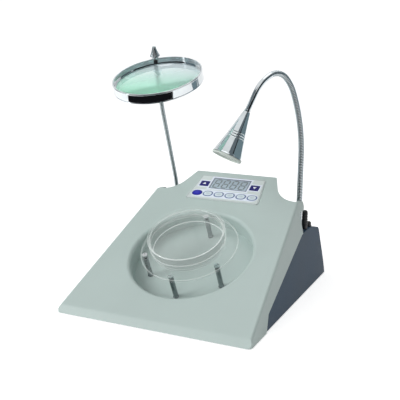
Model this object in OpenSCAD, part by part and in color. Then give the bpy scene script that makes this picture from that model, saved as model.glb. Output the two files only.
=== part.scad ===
// Colony counter: a sloping bench instrument with a lit Petri dish stand, a keypad with
// a display, a lamp and a magnifier on flexible necks. Millimetres, +Z up.
// The origin is the middle of the whole width and length, on the bench. The front faces -Y.

/* [Body] */
// Width of the body where it meets the bench
body_w = 242; // [236:1:252]
// Depth of the body on the bench
body_d = 284; // [278:1:294]
// Height of the front band
front_h = 9.4; // [9:0.2:12]
// Distance that the front band leans back
front_lean = 7.2; // [5:0.2:9]
// Slope of the top panel in degrees
panel_slope = 26.5; // [25.5:0.25:27.5]
// Lean of the side walls in degrees
side_draft = 10.5; // [9:0.25:11.5]
// Length of the panel up the slope, to the top of the neck
panel_len = 273.5; // [271:0.5:278]
// Wall of the upper shell
shell_wall = 3; // [2.4:0.1:3.4]
// Height of the body's lower edge above the bench
stand_h = 1; // [0.6:0.1:1.4]
// Radius of the upright corners
corner_r = 7; // [4:0.5:9]
// Radius of the edge between the panel and the side walls
edge_r = 3; // [1.5:0.25:4]
// Radius of the edge between the front band and the panel
nose_r = 8; // [4:0.5:10]

/* [Shoulders] */
// Radius of the round pocket in each rear corner
pocket_r = 32; // [29:0.5:34]
// Distance of the pocket's centre from the middle of the body
pocket_x = 96; // [94:0.5:98]
// Distance of the pocket's centre from the front
pocket_y = 243; // [241:0.5:246]
// Taper of the neck's sides, degrees from straight back
neck_taper = 23; // [18:0.5:26]
// Height of the side wings that close the pockets
wing_top = 109.5; // [107:0.5:111]
// Depth of the wings from top to bottom
wing_h = 12.5; // [10:0.5:15]
// How far back the wings reach from the front
wing_y = 231; // [227:0.5:234]
// Thickness of the wings
wing_t = 5; // [4:0.25:6]

/* [Parting line] */
// Where the side skirts leave the bench, from the front
skirt_front = 48; // [44:1:52]
// Height of the step at the front of the skirts
skirt_step = 17.8; // [15:0.2:20]
// Where the step ends, from the front
skirt_bend = 61.4; // [58:0.2:64]
// Height of the rear ledge
ledge_z = 70; // [67:0.5:72]
// Fall of the ledge towards the back
ledge_fall = 6; // [3:0.5:8]
// Inset of the base below the shell's side walls
base_inset = 1.5; // [1:0.1:2]
// Wall of the base
base_wall = 3; // [2.5:0.1:3.5]
// Radius of the top back edge of the base
base_round = 6; // [4:0.5:8]
// Thickness of the bottom plate
plate_t = 2; // [1.6:0.1:2.2]

/* [Well and tray] */
// Radius of the round well
well_r = 75; // [72:0.5:76]
// Distance of the well's centre up the slope
well_v = 113.7; // [112:0.5:116]
// Depth of the well
well_depth = 22; // [20:0.5:22.5]
// Thickness of the well's floor and wall
well_wall = 2.4; // [2:0.1:2.6]
// Radius of the rounded rim of the well
rim_r = 5; // [3:0.5:6]
// Radius of the clear tray
tray_r = 59.5; // [58:0.5:62]
// Thickness of the clear tray
tray_t = 3; // [2.5:0.25:4]
// Height of the tray's underside above the panel
tray_h = 7.1; // [5:0.5:9]
// Directions of the posts round the tray, in degrees
post_turns = [-150, -90, -30, 90];
// Radius of the circle of posts
post_circle = 54.3; // [53:0.25:55]
// Radius of a post
post_r = 3; // [2.5:0.25:3.5]

/* [Dish] */
// Radius of the dish base
dish_r = 45; // [43:0.5:47]
// Height of the closed dish
dish_h = 20; // [15:0.5:22]
// Wall of the dish
dish_wall = 1.3; // [1.1:0.1:1.6]
// Radius of the lid
lid_r = 47; // [46.5:0.5:49]
// Depth of the lid's skirt
lid_skirt = 11; // [8:0.5:13]

/* [Keypad] */
// Half width of the keypad membrane at its lower edge
pad_low = 51; // [50:0.5:53]
// Half width of the keypad membrane at its upper edge
pad_high = 45.5; // [44.5:0.5:47]
// Distance from the middle of the display down to the membrane's lower edge
pad_down = 35.4; // [35:0.2:37]
// Distance from the middle of the display up to the membrane's upper edge
pad_up = 15.6; // [15:0.2:17.6]
// Thickness of the membrane
pad_t = 0.8; // [0.6:0.1:1]
// Width of the display window
lcd_w = 54; // [48:0.5:56]
// Height of the display window
lcd_h = 23.5; // [20:0.5:24]
// Distance from the middle of the display window to the top of the neck
lcd_back = 25.1; // [24.5:0.1:25.5]
// Space between two round keys
key_space = 1.8; // [1.4:0.1:2.4]
// Height of a round key
key_d = 10.8; // [9:0.1:11]
// Distance between round keys
key_pitch = 15.6; // [15.5:0.1:16]
// Distance from the middle of the display down to the row of round keys
key_drop = 23.2; // [22.8:0.1:23.6]
// Width of an arrow key
arrow_w = 12.4; // [11:0.2:12.6]
// Height of an arrow key
arrow_d = 10.6; // [10:0.2:11]
// Distance of the arrow keys from the middle
arrow_u = 35.8; // [35.4:0.2:36]
// Travel of a key
key_travel = 0.8; // [0.5:0.1:0.9]
// Gap round each key
key_gap = 0.3; // [0.2:0.05:0.4]

/* [Lamp] */
// Distance of the lamp's foot in from the side of the body
lamp_in = 31; // [30:0.5:33]
// Distance of both feet behind the pockets' centres
foot_behind = 7; // [5:0.5:9]
// Direction in which the lamp's neck arches, degrees from +X
lamp_heading = 235; // [225:1:245]
// Radius of the lamp's flexible neck
lamp_tube_r = 3.8; // [3.4:0.1:4.2]
// Height at which the lamp's neck starts to bend
lamp_bend_z = 163; // [150:1:180]
// Length of the smooth sleeve after the arch
sleeve_len = 25; // [20:1:35]
// Length of the shade
shade_len = 58; // [50:1:66]
// Radius of the shade's rim
shade_r = 18.8; // [16:0.2:22]
// Wall of the shade
shade_wall = 1.2; // [1:0.1:1.6]

/* [Magnifier] */
// Distance of the magnifier's foot in from the side of the body
lens_in = 31.5; // [30:0.5:33]
// Direction in which the magnifier's neck leans, degrees from +X
lens_heading = 275; // [270:1:280]
// Lean of the magnifier's neck in degrees
lens_lean = 25; // [23:0.5:27]
// Lean of the neck's end in degrees
lens_end_aim = 18; // [16:0.5:20]
// Direction from the ring to its clamp in degrees
clamp_turn = 29; // [26:0.5:32]
// Radius of the magnifier's flexible neck
lens_tube_r = 3; // [2.8:0.1:3.4]
// Outer radius of the lens ring
ring_r = 55; // [50:0.5:60]
// Height of the lens ring
ring_h = 12.4; // [11:0.2:14]
// Wall of the lens ring
ring_wall = 2; // [1.6:0.1:2.6]
// Tilt of the lens ring in degrees
ring_tilt = 21.7; // [18:0.1:25]
// Thickness of the lens at its middle
lens_t = 9; // [7:0.5:10]

/* [Hidden] */
$fn = 64;

seat_gap = 0.3;
far = 400;
half_w = body_w / 2;
lamp_x = half_w - lamp_in;
lens_x = half_w - lens_in;
foot_y = pocket_y + foot_behind;
lcd_v = panel_len - lcd_back;
key_v = lcd_v - key_drop;
key_w = key_pitch - key_space;
pad_v0 = lcd_v - pad_down;
pad_v1 = lcd_v + pad_up;
sink = 5;
fuse_out = 5;
// middle of the whole length, from the foot of the front edge to the fuse cap
middle_y = (body_d + fuse_out + front_lean * stand_h / front_h) / 2;

// Panel frame: u across, v up the slope from the front top edge, h out of the panel.
function panel_y(v, h) = front_lean + v * cos(panel_slope) - h * sin(panel_slope);
function panel_z(v, h) = front_h + v * sin(panel_slope) + h * cos(panel_slope);
function side_x(z, inset) = half_w - inset / cos(side_draft) - z * tan(side_draft);
neck_back = panel_y(panel_len, 0);

module from_front() {
    translate([0, -middle_y, 0]) children();
}

module on_panel(u, v, h) {
    from_front() translate([u, panel_y(v, h), panel_z(v, h)]) rotate([panel_slope, 0, 0])
        children();
}

// Extrudes a (y, z) outline across the whole width.
module across() {
    translate([-far / 2, 0, 0]) rotate([90, 0, 90]) linear_extrude(far) children();
}

// Block between the leaning side walls.
module drafted(inset, y0, y1) {
    low = -sink;
    high = 180;
    translate([0, y1, 0]) rotate([90, 0, 0]) linear_extrude(y1 - y0)
        polygon([[-side_x(low, inset), low], [side_x(low, inset), low],
            [side_x(high, inset), high], [-side_x(high, inset), high]]);
}

module rounded_rect(x0, x1, y0, y1, r) {
    for (x = [x0 + r, x1 - r])
        for (y = [y0 + r, y1 - r])
            translate([x, y]) circle(r);
    translate([x0 + r, y0]) square([x1 - x0 - 2 * r, y1 - y0]);
    translate([x0, y0 + r]) square([x1 - x0, y1 - y0 - 2 * r]);
}

module stadium(w, d) {
    reach = (w - d) / 2;
    for (side = [-1, 1])
        translate([side * reach, 0]) circle(d / 2);
    translate([-reach, -d / 2]) square([2 * reach, d]);
}

// ---------- Upper shell ----------

// Side outline of the shell, moved in by inset: front band, panel and back wall.
module shell_outline(inset) {
    lower = inset / cos(panel_slope);
    back = neck_back - inset;
    nose = front_lean + inset * 1.2;
    front_angle = atan2(front_h, front_lean);
    bend = (front_angle - panel_slope) / 2;
    mid = (front_angle + panel_slope) / 2 - 90;
    nose_centre = [front_lean, front_h] + nose_r / cos(bend) * [cos(mid), sin(mid)];
    difference() {
        shell_polygon(inset, lower, back, nose);
        if (inset == 0) difference() {
            polygon([[front_lean, front_h] + [cos(mid + 180), sin(mid + 180)],
                nose_centre + 1.2 * nose_r * [cos(front_angle + 90), sin(front_angle + 90)],
                nose_centre,
                nose_centre + 1.2 * nose_r * [cos(panel_slope + 90), sin(panel_slope + 90)]]);
            translate(nose_centre) circle(nose_r);
        }
    }
}

module shell_polygon(inset, lower, back, nose) {
    polygon([[inset, -sink], [inset, 0], [nose, front_h + (nose - front_lean) * tan(panel_slope) - lower],
        [back, panel_z(panel_len, 0) - lower - inset * tan(panel_slope)], [back, -sink]]);
}

// Round pocket in each rear corner; its wall runs on as the neck's tapered side.
module corner_pockets(inset) {
    r = pocket_r + inset;
    reach = 60;
    leave = [pocket_x - r * cos(neck_taper), pocket_y - r * sin(neck_taper)];
    last = leave + reach * [-sin(neck_taper), cos(neck_taper)];
    for (side = [0, 1])
        mirror([side, 0, 0]) translate([0, 0, -sink]) {
            translate([pocket_x, pocket_y, 0]) cylinder(r = r, h = far);
            linear_extrude(far)
                polygon([[pocket_x, pocket_y], leave, last, [far, last[1]], [far, pocket_y]]);
        }
}

// The wings are left standing when the pockets are cut.
module wing_zone() {
    for (side = [0, 1])
        mirror([side, 0, 0]) {
            translate([side_x(wing_top, 0) - wing_t, pocket_y - pocket_r - corner_r, wing_top - wing_h])
                cube([far, wing_y - pocket_y + pocket_r + corner_r - wing_h / 2, wing_h]);
            translate([side_x(wing_top, 0) - wing_t, wing_y - wing_h / 2, wing_top - wing_h / 2])
                rotate([0, 90, 0]) cylinder(d = wing_h, h = far);
        }
}

module shell_form(inset) {
    difference() {
        intersection() {
            across() shell_outline(inset);
            drafted(inset, -1, far);
            translate([0, 0, -sink]) linear_extrude(far)
                rounded_rect(-half_w + inset, half_w - inset, inset, neck_back + far / 4,
                    corner_r - inset / 2);
        }
        difference() {
            corner_pockets(inset);
            if (inset == 0) wing_zone();
        }
    }
}

// Cutter that rounds the long edge between the panel and a side wall.
toe_in = atan(tan(side_draft) * sin(panel_slope));
wall_lean = atan(sin(side_draft) * cos(panel_slope)
    / sqrt(pow(cos(side_draft), 2) + pow(sin(side_draft) * sin(panel_slope), 2)));
module edge_cutter() {
    centre_x = -edge_r * (1 - sin(wall_lean)) / cos(wall_lean);
    touch = [centre_x + edge_r * cos(wall_lean), -edge_r + edge_r * sin(wall_lean)];
    for (side = [0, 1])
        mirror([side, 0, 0])
            on_panel(side_x(front_h, 0), 0, 0)
                rotate([0, 0, toe_in]) translate([0, far, 0]) rotate([90, 0, 0])
                    linear_extrude(far + sink) difference() {
                        polygon([[centre_x, 1], [edge_r, 1], [edge_r, touch[1]], touch,
                            [centre_x, -edge_r]]);
                        translate([centre_x, -edge_r]) circle(edge_r);
                    }
}

// Everything below the line where shell and base meet, lowered by drop.
module below_parting(drop) {
    across() polygon([[-far, -2 * sink], [-far, stand_h - drop],
            [skirt_front, stand_h - drop], [skirt_bend, skirt_step - drop],
        [parting_top, ledge_z - drop], [far, ledge_z - drop], [far, -2 * sink]]);
}
parting_rise = 0.3535;
parting_top = skirt_bend + (ledge_z - skirt_step) / parting_rise;

// Round well with a soft rim, cut straight into the panel.
module well_cutter() {
    on_panel(0, well_v, -well_depth) cylinder(r = well_r, h = well_depth + sink);
    on_panel(0, well_v, -rim_r) rotate_extrude() difference() {
        square([well_r + rim_r, rim_r + 1]);
        translate([well_r + rim_r, 0]) circle(rim_r);
    }
}

function key_u(i) = (i - 2.5) * key_pitch + 0.4;

module key_holes(gap, h0, height) {
    for (i = [0:5])
        on_panel(key_u(i), key_v, h0) linear_extrude(height)
            stadium(key_w + 2 * gap, key_d + 2 * gap);
    for (side = [-1, 1])
        on_panel(side * arrow_u, arrow_v, h0) linear_extrude(height)
            translate([-arrow_w / 2 - gap, -arrow_d / 2 - gap])
                square([arrow_w + 2 * gap, arrow_d + 2 * gap]);
}
arrow_v = lcd_v - 2.7;
boss_u = pad_high + 1;
boss_v = [pad_v0 + 4.5, pad_v1 - 5];

module upper_shell() {
    color([0.69, 0.75, 0.74]) {
        difference() {
            union() {
                difference() {
                    from_front() shell_form(0);
                    from_front() shell_form(shell_wall);
                    from_front() below_parting(0);
                }
                // bowl of the well, with a thicker collar under its rim
                intersection() {
                    from_front() shell_form(0);
                    union() {
                        on_panel(0, well_v, -well_depth - well_wall)
                            cylinder(r = well_r + well_wall, h = well_depth + well_wall);
                        on_panel(0, well_v, -rim_r) cylinder(r = well_r + rim_r + 1, h = rim_r);
                    }
                }
                // bosses that carry the key board
                for (u = [-boss_u, boss_u])
                    for (v = boss_v)
                        on_panel(u, v, -board_h) cylinder(r = 2.6, h = board_h - shell_wall / 2);
            }
            well_cutter();
            edge_cutter();
            key_holes(key_gap, -shell_wall - 1, shell_wall + 2);
            on_panel(-lcd_w / 2, lcd_v - lcd_h / 2, -shell_wall - 1) cube([lcd_w, lcd_h, shell_wall + 2]);
        }
    }
}

// ---------- Base ----------

module base_outline() {
    back = body_d;
    top = ledge_z - seat_gap;
    low = top - ledge_fall;
    polygon(concat([[skirt_front + 2, stand_h], [back, stand_h]],
        [for (a = [0:15:90])
            [back - base_round + base_round * cos(a), low - base_round + base_round * sin(a)]],
        [[neck_back + 2, top], [parting_top, top],
            [skirt_bend, skirt_step - seat_gap], [skirt_front + 2, stand_h + 1]]));
}

module base_form(inset) {
    intersection() {
        drafted(base_inset + inset, 0, body_d);
        translate([0, 0, -sink]) linear_extrude(far)
            rounded_rect(-half_w, half_w, -far / 4, body_d - inset, corner_r);
        across() base_outline();
    }
}

lip_h = 5;
// rear fittings, counted in from the side of the body
inlet_x = half_w - 59;
switch_x = half_w - 97;
fuse_x = half_w - 29;
inlet_z = 30;
inlet_size = [31, 24];
inlet_deep = 16;
switch_size = [19, 22];
fuse_r = 6;

module base_housing() {
    color([0.29, 0.36, 0.41]) from_front() difference() {
        union() {
            base_form(0);
            // lip that tucks inside the shell's skirt
            intersection() {
                drafted(shell_wall + 0.4, skirt_bend + 3, pocket_y - pocket_r - shell_wall - 3);
                translate([0, 0, lip_h]) below_parting(0);
                translate([-far, 0, stand_h]) cube([2 * far, far, far]);
            }
        }
        difference() {
            drafted(shell_wall + 0.4 + base_wall, -1, body_d - base_wall);
            // underside of the ledge
            translate([0, 0, -base_wall]) across() ledge_top();
        }
        for (side = [-1, 1])
            translate([side * (side < 0 ? lens_x : lamp_x), foot_y, ledge_z - 10])
                cylinder(r = socket_r, h = 20);
        rear_cut(inlet_x, inlet_size[0], inlet_size[1]);
        rear_cut(switch_x, switch_size[0], switch_size[1]);
        translate([fuse_x, body_d + 1, inlet_z]) rotate([90, 0, 0]) cylinder(r = fuse_r, h = base_wall + 2);
    }
}

// Region of the ledge, used to keep its skin.
module ledge_top() {
    start = pocket_y - pocket_r - shell_wall - 2;
    polygon([[start, ledge_z], [neck_back + 2, ledge_z], [body_d, ledge_z - ledge_fall * 1.3],
        [body_d, far / 2], [start, far / 2]]);
}

module rear_cut(x, w, h) {
    translate([x - w / 2, body_d - base_wall - 1, inlet_z - h / 2]) cube([w, base_wall + 2, h]);
}

plate_gap = 0.4;
plate_half = half_w - shell_wall - base_wall - 2.2;
foot_r = 8;
foot_t = stand_h + 0.8;
feet = [[plate_half - 16, 26], [plate_half - 16, body_d - 22]];
screws = [[plate_half - 8, 70], [plate_half - 8, body_d - 50]];

plate_top = stand_h + plate_t;
plate_mid = stand_h + plate_t / 2;
// clear of the shell's leaning front wall
plate_front = ceil(2 * (plate_top * front_lean / front_h
    + shell_wall * norm([front_lean, front_h]) / front_h + plate_gap)) / 2;

module bottom_plate() {
    color([0.3, 0.32, 0.34]) from_front() difference() {
        union() {
            translate([0, 0, stand_h]) linear_extrude(plate_t)
                rounded_rect(-plate_half, plate_half, plate_front, body_d - base_wall - plate_gap, corner_r);
            // pillars for the main board, and one round each screw
            for (x = [-board_x + pillar_in, board_x - board_short - pillar_in])
                for (y = [board_y0 + pillar_in, board_y1 - pillar_in])
                    translate([x, y, plate_mid]) cylinder(r = 3, h = board_z - plate_mid);
            for (side = [0, 1]) mirror([side, 0, 0])
                for (at = screws) translate([at[0], at[1], plate_mid]) cylinder(r = 4, h = 11);
        }
        for (side = [0, 1]) mirror([side, 0, 0]) {
            for (at = feet) translate([at[0], at[1], -1]) cylinder(r = foot_r, h = foot_t + 1);
            for (at = screws) {
                translate([at[0], at[1], -1]) cylinder(r = 3.4, h = stand_h + 2.4);
                translate([at[0], at[1], -1]) cylinder(r = 1.6, h = stand_h + 11);
            }
        }
    }
}

module rubber_feet() {
    color([0.1, 0.1, 0.1]) from_front() for (side = [0, 1]) mirror([side, 0, 0])
        for (at = feet) translate([at[0], at[1], 0]) cylinder(r = foot_r, h = foot_t);
}

module case_screws() {
    color([0.7, 0.7, 0.72]) from_front() for (side = [0, 1]) mirror([side, 0, 0])
        for (at = screws) translate([at[0], at[1], stand_h]) {
            difference() {
                translate([0, 0, 0.3]) cylinder(r = 3.1, h = 1.1);
                for (turn = [0, 90]) rotate([0, 0, turn])
                    translate([-2, -0.4, 0]) cube([4, 0.8, 0.9]);
            }
            translate([0, 0, 1]) cylinder(r = 1.55, h = 8.5);
        }
}

// ---------- Electronics ----------

// the board lies behind the well, to the left; the supply stands beside it
board_in = 39;
board_x = half_w - board_in;
board_short = 60;
board_d = 62;
board_back = 22;
board_y1 = body_d - board_back;
board_y0 = board_y1 - board_d;
board_t = 1.6;
pillar_in = 8;
board_z = 14;
board_h = 12;
chip_w = 22;
chip_x = 18;
chip_y = 14;
buzzer_x = 60;
buzzer_y = 30;
supply_x = half_w - 91;
supply_w = 54;
supply_d = 44;
supply_h = 36;
core_in = 5;
coil_in = 12;
coil_up = 8;
coil_h = 20;

module main_board() {
    color([0.1, 0.35, 0.2]) from_front() {
        translate([-board_x, board_y0, board_z]) cube([2 * board_x - board_short, board_d, board_t]);
        translate([-board_x + chip_x, board_y0 + chip_y, board_z + board_t]) cube([chip_w, chip_w, 3]);
        translate([-board_x + buzzer_x, board_y0 + buzzer_y, board_z + board_t]) cylinder(r = 6, h = 14);
    }
}

module power_supply() {
    color([0.55, 0.5, 0.35]) from_front()
        translate([supply_x, board_y0 - 2, plate_top]) {
            cube([supply_w, supply_d, 4]);
            translate([core_in, core_in, 0])
                cube([supply_w - 2 * core_in, supply_d - 2 * core_in, supply_h]);
            translate([coil_in, 1, coil_up]) cube([supply_w - 2 * coil_in, supply_d - 2, coil_h]);
        }
}

module display_module() {
    color([0.2, 0.22, 0.24])
        on_panel(-lcd_w / 2 - 2, lcd_v - lcd_h / 2 - 2, -board_h + 1.6)
            cube([lcd_w + 4, lcd_h + 4, board_h - 1.6 - shell_wall - seat_gap]);
}

module key_board() {
    switch_top = shell_wall + 2 * seat_gap + key_flange + key_travel;
    color([0.1, 0.4, 0.25]) {
        difference() {
            on_panel(-pad_low + 1, pad_v0 + 1, -board_h) cube([2 * pad_low - 2, pad_v1 - pad_v0 - 2, 1.4]);
            for (u = [-boss_u, boss_u])
                for (v = boss_v)
                    on_panel(u, v, -board_h - 1) cylinder(r = 2.8, h = 4);
        }
        for (i = [0:5])
            on_panel(key_u(i), key_v, -board_h + 1) cylinder(r = 3, h = board_h - 1 - switch_top);
        for (side = [-1, 1])
            on_panel(side * arrow_u, arrow_v, -board_h + 1) cylinder(r = 3, h = board_h - 1 - switch_top);
    }
}

// ---------- Keypad ----------

module pad_outline() {
    r = 4;
    hull() for (side = [-1, 1]) {
        translate([side * (pad_low - r), pad_v0 + r]) circle(r, $fn = 32);
        translate([side * (pad_high - r), pad_v1 - r]) circle(r, $fn = 32);
    }
}

module keypad_membrane() {
    color([0.86, 0.88, 0.91]) difference() {
        on_panel(0, 0, 0) linear_extrude(pad_t) pad_outline();
        key_holes(key_gap, -1, 3);
        on_panel(-lcd_w / 2, lcd_v - lcd_h / 2, -1) cube([lcd_w, lcd_h, 3]);
    }
}

module display_window() {
    color([0.6, 0.66, 0.7])
        on_panel(-lcd_w / 2 + 0.2, lcd_v - lcd_h / 2 + 0.2, -shell_wall)
            cube([lcd_w - 0.4, lcd_h - 0.4, shell_wall + pad_t - 0.3]);
}

key_top = pad_t + 0.5;
key_flange = 1;
key_low = -shell_wall - seat_gap - key_flange;
module oval_key(u, paint) {
    color(paint) {
        on_panel(u, key_v, key_low) linear_extrude(key_top - key_low) stadium(key_w, key_d);
        on_panel(u, key_v, key_low) linear_extrude(key_flange) stadium(key_w + 1.2, key_d + 1.6);
    }
}

module arrow_key(side) {
    color([0.02, 0.02, 0.45]) {
        on_panel(side * arrow_u, arrow_v, key_low) {
            translate([-arrow_w / 2, -arrow_d / 2, 0]) cube([arrow_w, arrow_d, key_top - key_low]);
            translate([side * 0.6 - arrow_w / 2, -arrow_d / 2 - 0.7, 0])
                cube([arrow_w, arrow_d + 1.4, key_flange]);
        }
    }
}

module up_key() { arrow_key(-1); }
module down_key() { arrow_key(1); }
pale_key = [0.85, 0.87, 0.9];
module round_key_1() { oval_key(key_u(0), [0.14, 0.14, 0.7]); }
module round_key_2() { oval_key(key_u(1), pale_key); }
module round_key_3() { oval_key(key_u(2), pale_key); }
module round_key_4() { oval_key(key_u(3), pale_key); }
module round_key_5() { oval_key(key_u(4), pale_key); }
module round_key_6() { oval_key(key_u(5), pale_key); }

// ---------- Rear fittings ----------

pen_in = 19.5;
pen_x = half_w - pen_in;
pen_y = pocket_y - 4;
pen_r = 3.6;
pen_len = 25;
jack_y = pocket_y + 12;
jack_r = 4.1;

module pen_post() {
    tip_r = pen_r * 0.6;
    color([0.04, 0.04, 0.05]) from_front() translate([pen_x, pen_y, ledge_z]) {
        cylinder(r = pen_r, h = pen_len - tip_r);
        translate([0, 0, pen_len - tip_r]) rotate_extrude() {
            intersection() {
                translate([pen_r - tip_r, 0]) circle(tip_r);
                square([pen_r, pen_r]);
            }
            square([pen_r - tip_r, tip_r]);
        }
        for (i = [1:5])
            translate([0, 0, 1 + i * pen_len / 7]) cylinder(r = pen_r + 0.4, h = 1.2);
    }
}

module pen_jack() {
    color([0.05, 0.05, 0.06]) from_front() translate([pen_x, jack_y, ledge_z - 0.2])
        difference() {
            union() {
                cylinder(r = jack_r + 0.5, h = 1.2);
                cylinder(r = jack_r, h = 4.5);
                translate([0, 0, 4.5]) cylinder(r1 = jack_r, r2 = jack_r - 1, h = 1.5);
            }
            translate([0, 0, 2]) cylinder(r = 1.8, h = 8);
        }
}

module power_inlet() {
    color([0.06, 0.06, 0.07]) from_front() translate([inlet_x, body_d, inlet_z]) difference() {
        union() {
            translate([-inlet_size[0] / 2 - 1.5, 0, -inlet_size[1] / 2 - 1.5])
                cube([inlet_size[0] + 3, 1.8, inlet_size[1] + 3]);
            translate([-inlet_size[0] / 2 + 0.3, -inlet_deep, -inlet_size[1] / 2 + 0.3])
                cube([inlet_size[0] - 0.6, inlet_deep, inlet_size[1] - 0.6]);
        }
        translate([-recess_w / 2, -inlet_deep + 3, -recess_h / 2]) cube([recess_w, inlet_deep, recess_h]);
    }
    color([0.75, 0.7, 0.5]) from_front() for (x = [-7, 0, 7])
        translate([inlet_x + x - 1, body_d - inlet_deep + 2, inlet_z - 2 + (x == 0 ? 3 : -2)])
            cube([2, inlet_deep - 5, 4]);
}
recess_w = 24;
recess_h = 17;

module switch_frame() {
    color([0.08, 0.08, 0.09]) from_front() translate([switch_x, body_d, inlet_z]) difference() {
        union() {
            translate([-switch_size[0] / 2 - 1.2, 0, -switch_size[1] / 2 - 1.2])
                cube([switch_size[0] + 2.4, 1.6, switch_size[1] + 2.4]);
            translate([-switch_size[0] / 2 + 0.3, -14, -switch_size[1] / 2 + 0.3])
                cube([switch_size[0] - 0.6, 14, switch_size[1] - 0.6]);
        }
        translate([-rocker_w / 2 - 0.4, -11, -rocker_h / 2 - 0.6]) cube([rocker_w + 0.8, 14, rocker_h + 1.2]);
        translate([-pivot_len / 2 - 0.3, -3, 0]) rotate([0, 90, 0])
            cylinder(r = pivot_r + 0.05, h = pivot_len + 0.6);
    }
}

rocker_w = 13;
rocker_h = 17;
rocker_tilt = 8;
pivot_r = 1.2;
pivot_len = rocker_w + 2.6;
module switch_rocker() {
    // two flat faces that meet at a shallow angle over the pivot
    color([0.75, 0.1, 0.1]) from_front() translate([switch_x, body_d - 3, inlet_z]) {
        translate([-pivot_len / 2, 0, 0]) rotate([0, 90, 0]) cylinder(r = pivot_r, h = pivot_len);
        translate([-rocker_w / 2, 0, 0]) rotate([-rocker_tilt, 0, 0])
            rotate([90, 0, 90]) linear_extrude(rocker_w)
                polygon([[-4, -rocker_h / 2 + 1.5], [4.6, -rocker_h / 2 + 0.4], [2.8, 0],
                    [4.6, rocker_h / 2 - 0.4], [-4, rocker_h / 2 - 1.5]]);
    }
}

module fuse_holder() {
    color([0.05, 0.05, 0.05]) from_front() translate([fuse_x, body_d, inlet_z]) rotate([-90, 0, 0]) {
        difference() {
            union() {
                translate([0, 0, -20]) cylinder(r = fuse_r - 0.3, h = 20);
                cylinder(r = fuse_r + 1.5, h = 2);
                cylinder(r = fuse_r - 0.5, h = fuse_out);
            }
            translate([-0.6, -fuse_r, fuse_out - 1]) cube([1.2, 2 * fuse_r, 2]);
        }
    }
}

socket_r = 5;
foot_flange_r = 7.4;
foot_flange_h = 5;

// Threaded foot through the ledge: a collar on top and a shank in the hole.
module neck_foot(x, bore) {
    color([0.62, 0.66, 0.68]) from_front() translate([x, foot_y, ledge_z]) difference() {
        union() {
            cylinder(r = foot_flange_r, h = foot_flange_h);
            translate([0, 0, foot_flange_h]) cylinder(r1 = foot_flange_r, r2 = foot_flange_r - 1.5, h = 1.5);
            translate([0, 0, -8]) cylinder(r = socket_r - 0.2, h = 9);
        }
        translate([0, 0, 1]) cylinder(r = bore, h = 20);
    }
}

module lamp_foot() { neck_foot(lamp_x, lamp_tube_r + 0.1); }
module lens_foot() { neck_foot(-lens_x, lens_tube_r + 0.1); }

// ---------- Tray and dish ----------

module at_posts() {
    for (turn = post_turns)
        rotate([0, 0, turn]) translate([post_circle, 0, 0]) children();
}

module tray() {
    color([0.85, 0.9, 0.9]) difference() {
        on_panel(0, well_v, tray_h) cylinder(r = tray_r, h = tray_t, $fn = 96);
        on_panel(0, well_v, tray_h - 1) at_posts() cylinder(r = 1.6, h = tray_t + 2);
    }
}

module tray_posts() {
    bottom = -well_depth;
    color([0.5, 0.53, 0.55])
        on_panel(0, well_v, bottom) at_posts() cylinder(r = post_r, h = tray_h - bottom);
}

module tray_screws() {
    color([0.8, 0.82, 0.83])
        on_panel(0, well_v, tray_h) at_posts() difference() {
            union() {
                cylinder(r = 1.6, h = tray_t);
                translate([0, 0, tray_t]) cylinder(r = 3.4, h = 1.6);
            }
            translate([-0.4, -2.4, tray_t + 0.9]) cube([0.8, 4.8, 2]);
        }
}

tray_top = tray_h + tray_t;
dish_base_h = dish_h - dish_wall - seat_gap;

module dish_base() {
    color([0.92, 0.95, 0.95]) on_panel(0, well_v, tray_top + seat_gap) difference() {
        cylinder(r = dish_r, h = dish_base_h, $fn = 96);
        translate([0, 0, dish_wall]) cylinder(r = dish_r - dish_wall, h = dish_h, $fn = 96);
    }
}

module dish_lid() {
    color([0.92, 0.95, 0.95]) on_panel(0, well_v, tray_top + seat_gap + dish_h - lid_skirt) difference() {
        cylinder(r = lid_r, h = lid_skirt, $fn = 96);
        translate([0, 0, -1]) cylinder(r = lid_r - dish_wall, h = lid_skirt - dish_wall + 1, $fn = 96);
    }
}

// ---------- Flexible necks ----------
// A neck lies in one upright plane, as (s, z): s is the way forward from its foot. Its
// direction is the angle from straight up. An arc of radius R turns it from a to b.

function arc_centre(p, R, a) = [p[0] + R * cos(a), p[1] - R * sin(a)];
function arc_point(c, R, t) = [c[0] - R * cos(t), c[1] + R * sin(t)];
function arc_end(p, R, a, b) = arc_point(arc_centre(p, R, a), R, b);
function line_end(p, length, a) = [p[0] + length * sin(a), p[1] + length * cos(a)];

module in_plane(x, heading) {
    from_front() translate([x, foot_y, 0]) rotate([0, 0, heading]) children();
}

module neck_arc(p, R, a, b, r) {
    c = arc_centre(p, R, a);
    short = joint_gap / R * 180 / PI;
    translate([c[0], 0, c[1]]) rotate([90, 0, 0]) rotate([0, 0, 180 - b + short])
        rotate_extrude(angle = b - a - short) translate([R, 0]) circle(r, $fn = 32);
}

module neck_line(p, length, a, r) {
    at_point(p, a) cylinder(r = r, h = length - joint_gap, $fn = 32);
}
joint_gap = 0.3;

// Narrow crimp that joins two stretches of a neck.
module crimp(p, a, r) {
    at_point(p, a) translate([0, 0, -crimp_t / 2]) cylinder(r = r + 0.15, h = crimp_t, $fn = 32);
}
crimp_t = 1.6;

module at_point(p, a) {
    translate([p[0], 0, p[1]]) rotate([0, a, 0]) children();
}

// The bend is a ball on the upper stretch in a hollow of the lower one.
ball_extra = 0.25;
link_gap = 0.3;
link_hole_r = 0.8;
foot_z = ledge_z + 1.2;

// Cross hole through a ball, along the line that the neck bends about.
module link_hole() {
    rotate([90, 0, 0]) cylinder(r = link_hole_r, h = 12, center = true, $fn = 24);
}

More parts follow.
